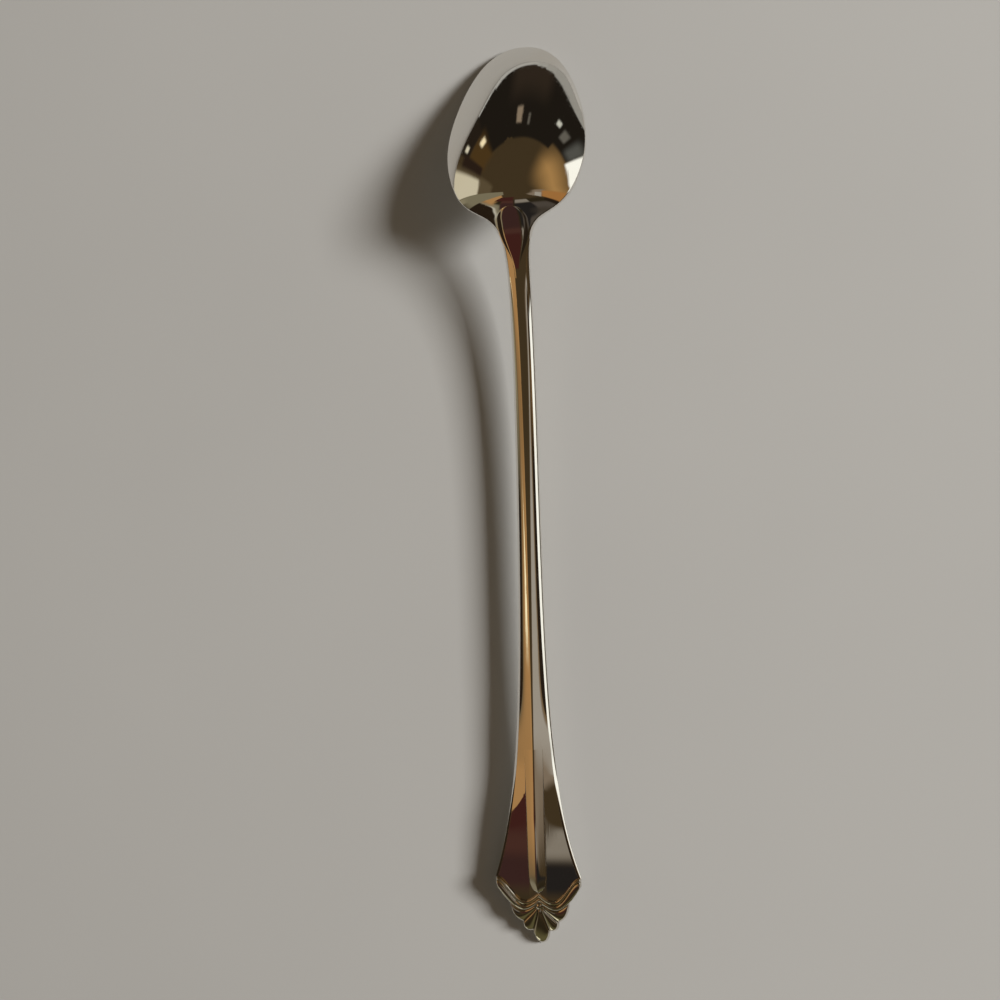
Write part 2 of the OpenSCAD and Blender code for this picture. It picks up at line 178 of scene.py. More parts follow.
@dataclass(frozen=True)
class SpoonForm:
    """Sizes and curves of the forging, in millimetres and degrees."""

    spoon_length: float
    bowl_length: float = 38.7
    bowl_width: float = 29.4
    egg_lean: float = 0.185
    egg_blunt: float = 0.17
    centre_share: float = 0.58
    bowl_depth: float = 6.3
    bowl_fullness: float = 1.05
    bowl_tilt: float = 21.4
    rim_wall: float = 1.5
    bowl_wall: float = 1.7
    rim_wear: float = 0.3
    neck_inset: float = 1.5
    neck_width: float = 13.3
    neck_run: float = 2.8
    neck_length: float = 10.5
    heel_length: float = 2.0
    heel_blend_before: float = 6.5
    heel_blend_after: float = 4.5
    stem_width: float = 4.5
    stem_thickness: float = 2.8
    ridge_slope: float = 0.36
    ridge_radius: float = 0.2
    arch_height: float = 6.9
    neck_rise: float = 8.5
    neck_fade: float = 16.0
    stem_hollow: float = 0.3
    flare_width: float = 19.6
    flare_run: float = 20.4
    panel_station: float = 148.0
    panel_fade: float = 18.0
    panel_thickness: float = 2.4
    rib_inset: float = 0.3
    rib_step: float = 0.15
    panel_slope: float = 0.05
    panel_hollow: float = 0.1
    tip_fade: float = 11.0
    tip_wear: float = 0.12
    tip_length: float = 13.4
    valley_half: float = 0.62
    lobe_height: float = 0.6
    lobe_root: float = 0.6
    face_relief: float = 0.7
    bead_radius: float = 0.75
    bead_v: float = 4.6
    contact_share: float = 0.9
    crest_half: float = 2.5
    crest_run: float = 44.0
    crest_heel: float = 0.6
    crest_blend: float = 4.0
    flank_slope: float = 0.33
    flank_swell: float = 1.0
    flank_edge: float = 0.55
    flank_before: float = 4.0
    flank_after: float = 10.0
    slope_fade: float = 120.0
    swell_fade: float = 128.0

    BLEND_POWER = 7
    LOBE_POWER = 8
    SWELL_POWER = 5
    PEAK_SAMPLES = 201
    STEP = 0.02
    NORMAL_INSET = 0.985

    @classmethod
    def from_frame(cls, low: Vector, high: Vector) -> "SpoonForm":
        """Form with the length of the solids.

        Args:
            low: Lowest corner of the solids' box, in metres.
            high: Highest corner of the solids' box, in metres.

        Returns:
            The form.
        """
        return cls(spoon_length=round((high.y - low.y) / MM, 1))

    @cached_property
    def neck_station(self) -> float:
        """Station where the neck leaves the bowl."""
        return self.bowl_length - self.neck_inset

    @cached_property
    def heel_station(self) -> float:
        """Station where the bowl ends and the neck begins."""
        return self.neck_station - self.heel_length

    @cached_property
    def stem_station(self) -> float:
        """Station where the neck ends and the stem begins."""
        return self.neck_station + self.neck_length

    @cached_property
    def corner_station(self) -> float:
        """Station of the two corners of the handle."""
        return self.spoon_length - self.tip_length

    @cached_property
    def bowl_centre(self) -> float:
        """Station of the middle of the bowl."""
        return self.bowl_length * self.centre_share

    @cached_property
    def heel_blend(self) -> Range:
        """Stations between which the form changes from bowl to stem."""
        return self.neck_station - self.heel_blend_before, self.neck_station + self.heel_blend_after

    @cached_property
    def rib_half(self) -> float:
        """Half width of the rib on the handle."""
        return self.stem_width / 2 - self.rib_inset

    @cached_property
    def tip_mid(self) -> float:
        """Depth of the mid plane of the ornament below the ridge."""
        return self.panel_thickness / 2 + self.panel_hollow

    @cached_property
    def egg_peak(self) -> float:
        """Largest value of the egg curve."""
        return float(self.egg(np.linspace(-1, 1, self.PEAK_SAMPLES)).max())

    def egg(self, q: Array) -> Array:
        """Half width of the egg, for q from -1 at the tip to 1 at the heel."""
        return np.sqrt(np.maximum(0, 1 - q * q)) * (1 + self.egg_lean * q - self.egg_blunt * q**3)

    def bowl_half(self, s: Array) -> Array:
        """Half width of the bowl at a station."""
        q = np.clip(2 * s / self.bowl_length - 1, -1, 1)
        return self.bowl_width / 2 * self.egg(q) / self.egg_peak

    def neck_half(self, s: Array) -> Array:
        """Half width of the neck.

        Args:
            s: Stations.

        Returns:
            The half width at each station.
        """
        d = (s - self.neck_station) / self.neck_run
        flare = np.where(d > 0, np.exp(-np.maximum(d, 0)), 1 + np.tanh(np.maximum(-d, 0)))
        return self.stem_width / 2 + (self.neck_width - self.stem_width) / 2 * flare

    def half_width(self, s: Array) -> Array:
        """Half width of the whole outline.

        Args:
            s: Stations.

        Returns:
            The half width at each station.
        """
        power = self.BLEND_POWER
        neck = self.neck_half(s) * ease(0.0, self.neck_station, s)
        past_corner = (s - self.corner_station) / self.flare_run
        flare = (self.flare_width - self.stem_width) / 2 * np.exp(past_corner)
        return (self.bowl_half(s) ** power + neck**power) ** (1 / power) + flare

    def width_slope(self, s: Array) -> Array:
        """Change of the half width along the spoon."""
        return (self.half_width(s + self.STEP) - self.half_width(s - self.STEP)) / (2 * self.STEP)

    def lobe_profile(self, along: Array) -> Array:
        """Relief along a lobe, from its root to its rounded end."""
        ends = 1 - (2 * along - 1) ** self.LOBE_POWER
        return np.sqrt(np.maximum(0, ends)) * mix(self.lobe_root, 1.0, along)

    @cached_property
    def tip_drop(self) -> float:
        """How far the handle bends down, so that the middle lobe touches the table."""
        back = (1 - self.contact_share) * (self.tip_length - self.bead_v - self.bead_radius)
        relief = self.lobe_height * self.face_relief * self.lobe_profile(self.contact_share)
        under = self.valley_half + relief
        reach = self.arch_height - self.tip_mid - under + self.tip_wear
        return reach * math.exp(back / self.tip_fade)

    def ridge_z(self, s: Array) -> Array:
        """Height of the ridge along the stem and handle.

        Args:
            s: Stations.

        Returns:
            The height at each station.
        """
        rise = self.neck_rise * np.exp((self.neck_station - s) / self.neck_fade)
        drop = self.tip_drop * np.exp((s - self.spoon_length) / self.tip_fade)
        return self.arch_height + rise - drop

    @cached_property
    def rim_lift(self) -> float:
        """Height of the back of the rim at the tip, with the worn inner edge of the rim on the table."""
        probe = self.bowl_centre * (1 - self.NORMAL_INSET)
        dome = self.dome(np.array([probe - self.STEP, probe + self.STEP]), 0.0)
        slope = math.tan(math.radians(self.bowl_tilt)) + (dome[1] - dome[0]) / (2 * self.STEP)
        return self.rim_wall / math.sqrt(1 + slope * slope) - self.rim_wear

    def rim_z(self, s: Array) -> Array:
        """Height of the back of the rim."""
        return self.rim_lift + s * math.tan(math.radians(self.bowl_tilt))

    def hollow(self, s: Array, x: Array) -> Array:
        """Share of the bowl's roundness, from 0 at the rim to 1 in the middle."""
        return np.maximum(0, self.half_width(s) ** 2 - x * x) / (self.bowl_width / 2) ** 2

    def dome(self, s: Array, x: Array) -> Array:
        """Height of the back of the bowl over its rim."""
        return self.bowl_depth * (1 - np.maximum(0, 1 - self.hollow(s, x)) ** self.bowl_fullness)

    def roof(self, x: Array) -> Array:
        """Fall of the two flanks from the ridge."""
        return self.ridge_slope * (np.sqrt(x * x + self.ridge_radius**2) - self.ridge_radius)

    def crest(self, s: Array) -> Array:
        """Half width of the rounded top of the ridge, which gets narrow towards the handle's end."""
        heel = 1 + self.crest_heel * (1 - ease(self.heel_station, self.stem_station + self.crest_blend, s))
        return self.crest_half * heel * np.exp(-np.maximum(0, s - self.stem_station) / self.crest_run)

    def flank(self, s: Array, x: Array) -> Array:
        """Fall of the neck's and the stem's flanks, round on top and steeper towards the edges.

        Args:
            s: Stations.
            x: Places across.

        Returns:
            The fall from the ridge at each place.
        """
        away = np.abs(x)
        top = self.crest(s)
        fall = np.where(away < top, away**2 / (2 * top), away - top / 2)
        flat = self.half_width(s) - self.flank_edge
        begun = ease(self.stem_station - self.flank_before, self.stem_station + self.flank_after, s)
        fade = begun * (1 - ease(self.swell_fade, self.panel_station, s))
        power = self.SWELL_POWER
        steep = self.flank_swell * fade * flat / power * np.minimum(1, away / flat) ** power
        slope = mix(self.flank_slope, self.ridge_slope, ease(self.slope_fade, self.panel_station, s))
        return slope * (fall + steep)

    def back_z(self, s: Array, x: Array) -> Array:
        """Height of the back of the bowl, neck and stem.

        Args:
            s: Stations.
            x: Places across.

        Returns:
            The height at each place.
        """
        bowl = self.rim_z(s) + self.dome(s, x)
        stem = self.ridge_z(s) - self.flank(s, x)
        return mix(bowl, stem, ease(*self.heel_blend, s))

    def panel_share(self, s: Array) -> Array:
        """How far the flanks of the ridge have turned into panels, from 0 to 1."""
        return ease(self.panel_station, self.panel_station + self.panel_fade, s)

    def step_at(self, s: Array) -> Array:
        """Step between the rib and the panels."""
        return self.rib_step * self.panel_share(s)

    def slope_at(self, s: Array) -> Array:
        """Fall of the panels from the rib out to the edge."""
        return mix(self.ridge_slope, self.panel_slope, self.panel_share(s))

    def bed_z(self, s: Array) -> Array:
        """Height of the handle under the rib."""
        return self.ridge_z(s) - self.roof(self.rib_half) - self.step_at(s)

    def panel_z(self, s: Array, x: Array) -> Array:
        """Height of the back of the panels."""
        return self.bed_z(s) - self.slope_at(s) * np.maximum(0, np.abs(x) - self.rib_half)

    def ridge_thickness(self, s: Array) -> Array:
        """Thickness at the ridge, from the bowl to the end of the handle."""
        neck = mix(self.bowl_wall, self.stem_thickness, ease(self.heel_blend[0], self.stem_station, s))
        return mix(neck, self.panel_thickness, ease(self.panel_station, self.corner_station, s))

    def edge_lift(self, s: Array) -> Array:
        """Rise of the face from its middle out to the edge."""
        return mix(self.stem_hollow, self.panel_hollow, ease(self.panel_station, self.corner_station, s))

    def face_z(self, s: Array, x: Array) -> Array:
        """Height of the face of the neck, stem and handle.

        Args:
            s: Stations.
            x: Places across.

        Returns:
            The height at each place.
        """
        share = (x / self.half_width(s)) ** 2
        blend = ease(self.heel_blend[0], self.stem_station, s)
        thick = self.ridge_thickness(s)
        wall = mix(self.rim_wall, self.edge_lift(s), blend)
        bowl = thick + (self.rim_wall - self.bowl_wall) * share
        stem = thick - self.flank(s, x) - wall * share
        neck = self.back_z(s, x) - mix(bowl, stem, blend)
        handle = self.ridge_z(s) - thick + self.edge_lift(s) * np.minimum(1, share)
        return np.where(s < self.stem_station, neck, handle)

    def surface_normal(self, height: Surface, s: Array, x: Array) -> Array:
        """Unit normal of a surface that is given by its height.

        Args:
            height: Height for stations and places across.
            s: Stations.
            x: Places across.

        Returns:
            A normal at each place.
        """
        h = self.STEP
        across = (height(s, x + h) - height(s, x - h)) / (2 * h)
        along = (height(s + h, x) - height(s - h, x)) / (2 * h)
        return unit(np.stack([-across, along, np.ones_like(across)], axis=-1))

    def back_normal(self, s: Array, x: Array) -> Array:
        """Unit normal of the back of the bowl, neck and stem."""
        return self.surface_normal(self.back_z, s, x)

    def panel_normal(self, s: Array, x: Array) -> Array:
        """Unit normal of the back of the panels."""
        return self.surface_normal(self.panel_z, s, x)

    def place(self, s: Array, x: Array, z: Array) -> Array:
        """Points in the frame of the solids, in millimetres."""
        s, x, z = np.broadcast_arrays(s, x, z)
        return np.stack([x, self.spoon_length / 2 - s, z], axis=-1)

    def above_table(self, points: Array) -> Array:
        """Points with what would lie under the table worn flat."""
        return np.concatenate([points[..., :2], np.maximum(0, points[..., 2:])], axis=-1)

    def back_point(self, s: Array, x: Array) -> Array:
        """Point on the back of the bowl, neck or stem."""
        return self.place(s, x, self.back_z(s, x))

    def bowl_face_point(self, s: Array, x: Array) -> Array:
        """Point on the inside of the bowl, through the wall from a place on its back.

        Args:
            s: Stations.
            x: Places across.

        Returns:
            The point for each place.
        """
        inset = self.NORMAL_INSET
        upright = ease(self.bowl_centre, self.heel_station, s)
        square = self.back_normal(mix(self.bowl_centre, s, inset), x * inset)
        through = unit(mix(square, UP, upright[..., None]))
        wall = mix(self.rim_wall, self.bowl_wall, np.minimum(1, self.hollow(s, x)))
        wall = mix(wall, self.back_z(s, x) - self.face_z(s, x), upright)
        return self.above_table(self.back_point(s, x) - wall[..., None] * through)


# Meshes


class Skin:
    """Collects grids of points with their normals, and closes them into one smooth mesh."""

    WELD = 1e-5

    def __init__(self) -> None:
        """Starts with nothing in it."""
        self.points: list[Array] = []
        self.normals: list[Array] = []
        self.valleys: list[Array] = []
        self.faces: list[Array] = []
        self.count = 0

    def add_grid(
        self, points: Array, normals: Array, closed: bool = False, valley: Array | None = None
    ) -> None:
        """Adds the faces of a grid.

        Args:
            points: Grid of points in millimetres, rows by columns by 3.
            normals: Unit normals of the same shape.
            closed: Whether the last column meets the first.
            valley: How deep in a valley of the relief each point lies, from 0 to 1.
        """
        rows, cols = points.shape[:2]
        index = self.count + np.arange(rows * cols).reshape(rows, cols)
        if closed:
            index = np.concatenate([index, index[:, :1]], axis=1)
        corners = [index[:-1, :-1], index[:-1, 1:], index[1:, 1:], index[1:, :-1]]
        self.faces.append(np.stack(corners, axis=-1).reshape(-1, 4))
        self.points.append(points.reshape(-1, 3))
        self.normals.append(np.broadcast_to(normals, points.shape).reshape(-1, 3))
        self.valleys.append(np.zeros(rows * cols) if valley is None else valley.reshape(-1))
        self.count += rows * cols

    def add_cap(self, upper: Array, lower: Array, normal: Triple) -> None:
        """Closes an end between an upper and a lower row of points that face one way."""
        rows = np.stack([upper, lower])
        self.add_grid(rows, np.broadcast_to(np.array(normal), rows.shape))

    def add_slab(self, halves: Pair, normals: list[Array], level: bool = False) -> None:
        """Adds the upper and lower halves of a long piece, its side walls and its two ends.

        Args:
            halves: Grids of points with the rows across the piece, from -x to +x.
            normals: Unit normals of the two grids.
            level: Whether the side walls face straight out, and not as the two grids do at their edges.
        """
        upper, lower = halves
        for points, directions in zip(halves, normals):
            self.add_grid(points, directions)
        for column, side in ((0, Side.LEFT), (-1, Side.RIGHT)):
            wall = np.stack([upper[:, column], lower[:, column]], axis=1)
            out = np.array([side.value, 0.0, 0.0])
            if not level:
                out = np.stack([directions[:, column] for directions in normals], axis=1)
            self.add_grid(wall, out)
        self.add_cap(upper[0], lower[0], (0, 1, 0))
        self.add_cap(upper[-1], lower[-1], (0, -1, 0))

    def mesh(self, name: str) -> bpy.types.Mesh:
        """Welds the grids and makes the mesh.

        Args:
            name: Name of the mesh.

        Returns:
            A mesh in metres, with its own normals at the corners of its faces.
        """
        points = np.concatenate(self.points)
        normals = np.concatenate(self.normals)
        valleys = np.concatenate(self.valleys)
        keys = np.round(points / self.WELD).astype(np.int64)
        _, first, weld = np.unique(keys, axis=0, return_index=True, return_inverse=True)
        weld = weld.reshape(-1)
        loops, polygons = [], []
        for face in np.concatenate(self.faces):
            corners = [c for k, c in enumerate(face) if weld[c] != weld[face[k - 1]]]
            if len({int(weld[c]) for c in corners}) < 3 or len(corners) < 3:
                continue
            a, b, c = (points[corners[k]] for k in (0, 1, 2))
            turn = np.cross(b - a, c - a)
            if len(corners) == 4:
                turn = np.cross(c - a, points[corners[3]] - b)
            if np.dot(turn, normals[corners].sum(axis=0)) < 0:
                corners.reverse()
            loops.extend(corners)
            polygons.append([int(weld[c]) for c in corners])
        mesh = bpy.data.meshes.new(name)
        mesh.from_pydata((points[first] * MM).tolist(), [], polygons)
        mesh.shade_smooth()
        attribute = mesh.attributes.new(VALLEY, "FLOAT", "POINT")
        attribute.data.foreach_set("value", valleys[first].astype(np.float32))
        mesh.normals_split_custom_set(normals[loops].tolist())
        return mesh


def edge_round(back: Pair, face: Pair, shares: Pair, flat: Array, steps: int) -> Pair:
    """Rounds or bevels the edge between the back and the face.

    Args:
        back: Points on the back in from the edge, and sharp corners of the back.
        face: Points on the face in from the edge, and sharp corners of the face.
        shares: Shares of the wall that the back's and the face's edges take.
        flat: How flat the edge is, from 0 for a rounding to 1 for a bevel.
        steps: Steps in each edge.

    Returns:
        Rows of points from the back out to the wall, and rows from the face out to the wall.
    """
    t = np.concatenate([[0.0], np.linspace(EDGE_START, 1, steps)])[:, None, None]
    flat = np.broadcast_to(flat, back[1].shape[:-1])[..., None]

    def bend(start: Array, corner: Array, end: Array) -> Array:
        """Curve that leaves its start and meets its end along the two sides of a corner."""
        pull = mix(corner, (start + end) / 2, flat)
        return (1 - t) ** 2 * start + 2 * t * (1 - t) * pull + t * t * end

    upper, lower = (np.broadcast_to(share, back[1].shape[:-1])[..., None] for share in shares)
    return (
        bend(*back, mix(back[1], face[1], upper)),
        bend(*face, mix(face[1], back[1], lower)),
    )


@dataclass
class Piece:
    """One piece of the spoon, ready to be dressed."""

    name: str
    skin: Skin
    slot: Slot

    def put(self, finish: bpy.types.Material) -> bpy.types.Object:
        """Makes the object in place of its solid.

        Args:
            finish: Material of the piece.

        Returns:
            The object, which rides on the spoon's one body.
        """
        mesh = self.skin.mesh(self.name)
        mesh.materials.append(finish)
        piece = bpy.data.objects.new(self.name + "_form", mesh)
        bpy.context.scene.collection.objects.link(piece)
        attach(piece, BODY)
        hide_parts(self.name)
        LOG.info("%s: %d faces", piece.name, len(mesh.polygons))
        return piece


@dataclass
class Shank:
    """Neck and stem: a ridged bar that grows out of the heel of the bowl."""

    form: SpoonForm
    heel_edge: float = 0.3
    stem_edge: float = 0.55
    turn_share: float = 0.65
    bevel_slope: float = 0.65
    face_share: float = 0.5
    wall_share: float = 0.46
    least_wall: float = 0.1
    bevel_flat: float = 0.85
    back_steps: int = 24
    edge_steps: int = 7
    neck_rows: int = 44
    stem_rows: int = 140

    def turned(self, s: Array) -> Array:
        """How far the round edge of the heel has turned into the bevel of the stem, from 0 to 1."""
        start, end = self.form.heel_station, self.form.stem_station
        return ease(start, mix(start, end, self.turn_share), s)

    def edge_radius(self, s: Array) -> Array:
        """Size of the rounding along the edges."""
        return mix(self.heel_edge, self.stem_edge, self.turned(s))

    def edge_shares(self, s: Array, wall: Array) -> Pair:
        """Shares of the wall that the edges of the back and of the face take.

        Args:
            s: Stations.
            wall: Height of the wall at those stations.

        Returns:
            The shares of the back and of the face.
        """
        turned = self.turned(s)
        fall = self.edge_radius(s) * mix(1.0, self.bevel_slope, turned)
        face = fall * mix(1.0, self.face_share, turned)
        wall = np.maximum(wall, self.least_wall)
        return np.minimum(fall / wall, self.wall_share), np.minimum(face / wall, self.wall_share)

    def flatness(self, s: Array) -> Array:
        """How flat the edges are, from a round rim to a bevel along the stem."""
        return self.bevel_flat * self.turned(s)

    def flat_half(self, s: Array) -> Array:
        """Half width of the back, in from the rounded edges."""
        form = self.form
        return form.half_width(s) - self.edge_radius(s) * np.sqrt(1 + form.width_slope(s) ** 2)

    def back_columns(self) -> Array:
        """Shares of the flat half width at the columns of the back."""
        return np.linspace(-1, 1, 2 * self.back_steps + 1)

    def halves(self, top: Surface, s: Array, x: Array, station: Callable[[Array], Array]) -> Pair:
        """Upper and lower halves of the sections of a bar with rounded edges.

        Args:
            top: Height of the back.
            s: Stations where the rows meet the edges.
            x: Places across the back in from the edges, with a row for each station.
            station: Gives the stations of rows of places across.

        Returns:
            Two grids of points with a row for each station, from -x to +x.
        """
        form = self.form
        surfaces = (top, form.face_z)
        middles = [form.place(station(x), x, height(station(x), x)) for height in surfaces]
        sides = []
        for side in Side:
            ends = [side.value * half(s) for half in (form.half_width, self.flat_half)]
            places = [(station(end[:, None])[:, 0], end) for end in ends]
            (corner, back), (under, face) = (
                [form.place(*at, height(*at)) for at in places] for height in surfaces
            )
            shares = self.edge_shares(s, corner[:, 2] - under[:, 2])
            rows = edge_round((back, corner), (face, under), shares, self.flatness(s), self.edge_steps)
            sides.append([np.moveaxis(edge, 0, 1) for edge in rows])
        upper, lower = (
            np.concatenate([left[:, :0:-1], middle, right[:, 1:]], axis=1)
            for left, middle, right in zip(sides[0], middles, sides[1])
        )
        return upper, lower

    def sections(self, s: Array) -> Pair:
        """Upper and lower halves of the sections at some stations, from -x to +x."""
        x = self.back_columns() * self.flat_half(s)[:, None]
        return self.halves(self.form.back_z, s, x, lambda across: s[:, None] + np.zeros_like(across))

    def bar(
        self, name: str, rows: Array, step: float, sections: Callable[[Array], Pair], normal: Surface
    ) -> Piece:
        """Builds a bar from its sections.

        Args:
            name: Name of the solid.
            rows: Where the sections lie along the bar.
            step: Short way along the bar, for the normals of its edges and its face.
            sections: Gives the upper and lower halves of the sections.
            normal: Gives the normals of the back.

        Returns:
            The piece.
        """
        halves = sections(rows)
        ahead = sections(rows + step)
        behind = sections(rows - step)
        normals = []
        for points, after, before, up in zip(halves, ahead, behind, (1.0, -1.0)):
            out = unit(np.cross(slope_along(points, 1), after - before))
            normals.append(out * (np.sign(out[..., 2].sum()) * up))
        inner = slice(self.edge_steps, -self.edge_steps)
        back = halves[0][:, inner]
        normals[0][:, inner] = normal(self.form.spoon_length / 2 - back[..., 1], back[..., 0])
        skin = Skin()
        skin.add_slab(halves, normals)
        return Piece(name, skin, Slot.POLISHED)

    def pieces(self) -> list[Piece]:
        """Builds the neck and the stem.

        Returns:
            The two pieces.
        """
        form = self.form
        stretches = (
            ("neck", form.heel_station, form.stem_station, self.neck_rows),
            ("stem", form.stem_station, form.panel_station, self.stem_rows),
        )
        return [
            self.bar(name, np.linspace(start, end, rows + 1), form.STEP, self.sections, form.back_normal)
            for name, start, end, rows in stretches
        ]


@dataclass
class Bowl:
    """Egg-shaped bowl with a rounded rim, closed at the heel where the neck begins."""

    form: SpoonForm
    shank: Shank
    rim_steps: int = 220
    rings: int = 64
    ring_crowding: float = 1.25
    turn_share: float = 0.82

    def outline(self) -> Pair:
        """Rim from the left end of the heel round the tip to the right end.

        Returns:
            Places on the sharp outline, and places in from the rounded edge, both as [x, s].
        """
        form = self.form
        t = np.linspace(-1, 1, self.rim_steps + 1)
        s = form.heel_station * (1 - np.cos(np.pi / 2 * np.abs(t)))
        rim = np.stack([np.sign(t) * form.half_width(s), s], axis=-1)
        rim[self.rim_steps // 2] = (0.0, 0.0)
        run = slope_along(rim[:, None, :], 0)[:, 0]
        inward = unit(np.stack([run[:, 1], -run[:, 0]], axis=-1))
        inward *= np.sign(np.sum(inward * (np.array([0.0, form.bowl_centre]) - rim), axis=-1))[:, None]
        level = np.stack([-np.sign(t), np.zeros_like(t)], axis=-1)
        turn = ease(self.turn_share, 1.0, np.abs(t))[:, None]
        towards = unit(mix(inward, level, turn))
        inset = self.shank.edge_radius(s) / np.sum(towards * inward, axis=-1)
        flat = rim + towards * inset[:, None]
        heel = float(self.shank.flat_half(np.array([form.heel_station]))[0])
        flat[0] = (-heel, form.heel_station)
        flat[-1] = (heel, form.heel_station)
        return rim, flat

    def build(self) -> Piece:
        """Builds the bowl.

        Returns:
            The piece.
        """
        form = self.form
        rim, flat = self.outline()
        heel_x = flat[-1, 0] * self.shank.back_columns()[::-1][1:-1]
        heel = np.stack([heel_x, np.full_like(heel_x, form.heel_station)], axis=-1)
        ring = np.concatenate([flat, heel])
        centre = np.array([0.0, form.bowl_centre])
        share = 1 - (1 - np.arange(self.rings + 1) / self.rings) ** self.ring_crowding
        plan = centre + share[:, None, None] * (ring - centre)
        x, s = plan[..., 0], plan[..., 1]
        skin = Skin()
        back = form.back_point(s, x)
        skin.add_grid(back, form.back_normal(s, x), closed=True)
        inside = form.bowl_face_point(s, x)
        inside_normals = grid_normals(inside, -UP, closed=True)
        inside_normals[0] = -form.back_normal(s[0], x[0])
        skin.add_grid(inside, inside_normals, closed=True)
        corner = form.back_point(rim[:, 1], rim[:, 0])
        under = form.bowl_face_point(rim[:, 1], rim[:, 0])
        wall = np.linalg.norm(corner - under, axis=-1)
        upper, lower = edge_round(
            (back[-1, : len(rim)], corner),
            (inside[-1, : len(rim)], under),
            self.shank.edge_shares(rim[:, 1], wall),
            self.shank.flatness(rim[:, 1]),
            self.shank.edge_steps,
        )
        edge_rows = np.concatenate([upper, lower[::-1]])
        outward = form.place(form.bowl_centre, 0.0, 0.0) * -1 + edge_rows
        outward[..., 2] = 0.0
        edge_normals = grid_normals(edge_rows, outward)
        edge_normals[0] = form.back_normal(flat[:, 1], flat[:, 0])
        edge_normals[-1] = inside_normals[-1, : len(rim)]
        skin.add_grid(edge_rows, edge_normals)
        back_heel = np.concatenate([back[-1, len(rim) - 1 :], back[-1, :1]])
        inside_heel = np.concatenate([inside[-1, len(rim) - 1 :], inside[-1, :1]])
        top = np.concatenate([upper[:0:-1, -1], back_heel, upper[1:, 0]])
        bottom = np.concatenate([lower[:0:-1, -1], inside_heel, lower[1:, 0]])
        skin.add_cap(top, bottom, (0, -1, 0))
        return Piece("bowl", skin, Slot.POLISHED)

    def pieces(self) -> list[Piece]:
        """The bowl."""
        return [self.build()]


@dataclass
class HeelDrop:
    """Raised tongue on the heel of the bowl, with a round end that runs out into the ridge of the stem."""

    form: SpoonForm
    length: float = 14.0
    width: float = 6.7
    height: float = 0.1
    lead: float = 1.5
    round_share: float = 0.4
    tail: float = 0.16
    fall_from: float = 0.35
    nose_rise: float = 6.0
    nose_lift: float = 0.004
    crown_from: float = 0.55
    camber: float = 0.016
    seat_depth: float = 0.02
    first_row: float = 0.004
    rows: int = 60
    columns: int = 48

    def half(self, d: Array) -> Array:
        """Half width of the tongue.

        Args:
            d: Distances from the round end.

        Returns:
            The half width at each distance.
        """
        start = self.width * self.round_share
        rest = (d - start) / (self.length - start)
        nose = np.sqrt(np.maximum(0, 1 - (1 - np.minimum(d / start, 1)) ** 2))
        return self.width / 2 * np.where(d < start, nose, mix(1.0, self.tail, ease(0, 1, rest)))

    def rise(self, d: Array) -> Array:
        """Height of the crown at a distance from the round end."""
        share = d / self.length
        nose = np.sqrt(np.minimum(1, self.nose_rise * share + self.nose_lift))
        return self.height * (1 - ease(self.fall_from, 1, share)) * nose

    def pieces(self) -> list[Piece]:
        """Builds the tongue.

        Returns:
            The one piece.
        """
        form = self.form
        d = np.maximum(self.first_row, self.length * np.linspace(0.0, 1, self.rows + 1) ** 2)
        share = np.sin(np.pi / 2 * np.linspace(-1, 1, self.columns + 1))
        s = (form.neck_station - self.lead + d)[:, None] + np.zeros_like(share)
        x = self.half(d)[:, None] * share
        crown = 1 - ease(self.crown_from, 1.0, np.abs(share))
        seat = form.back_z(s, x) - self.seat_depth
        plate = form.back_z(s, 0 * x) + self.rise(d)[:, None] - self.camber * x * x
        top = form.place(s, x, seat + self.seat_depth + np.maximum(0, plate - seat) * crown)
        base = form.place(s, x, seat)
        skin = Skin()
        skin.add_slab((top, base), [grid_normals(top, UP), grid_normals(base, -UP)], level=True)
        return [Piece("heel_drop", skin, Slot.POLISHED)]


@dataclass(frozen=True)
class Border:
    """Bracket-shaped line across the handle end, as distances past its corners."""

    middle: float
    trough: float
    corner: float
    reach: float
    power: float = 0.0

    def at(self, x: Array, half: float) -> Array:
        """Distance past the corners.

        Args:
            x: Places across, on either side.
            half: Half width at which the line meets the corner.

        Returns:
            The distance at each place.
        """
        x = np.abs(x)
        dip = mix(self.middle, self.trough, np.sin(np.pi / 2 * np.minimum(1, x / self.reach)))
        t = np.clip((x - self.reach) / (half - self.reach), 0, 1)
        rise = t**self.power if self.power > 0 else (1 - np.cos(np.pi * t)) / 2
        return np.where(x < self.reach, dip, mix(self.trough, self.corner, rise))


UPPER_BORDER = Border(1.7, 3.5, -1.6, 3.1)
MIDDLE_BORDER = Border(2.8, 4.5, -0.9, 3.3)
LOWER_BORDER = Border(3.9, 5.7, 0.0, 3.6, 1.7)


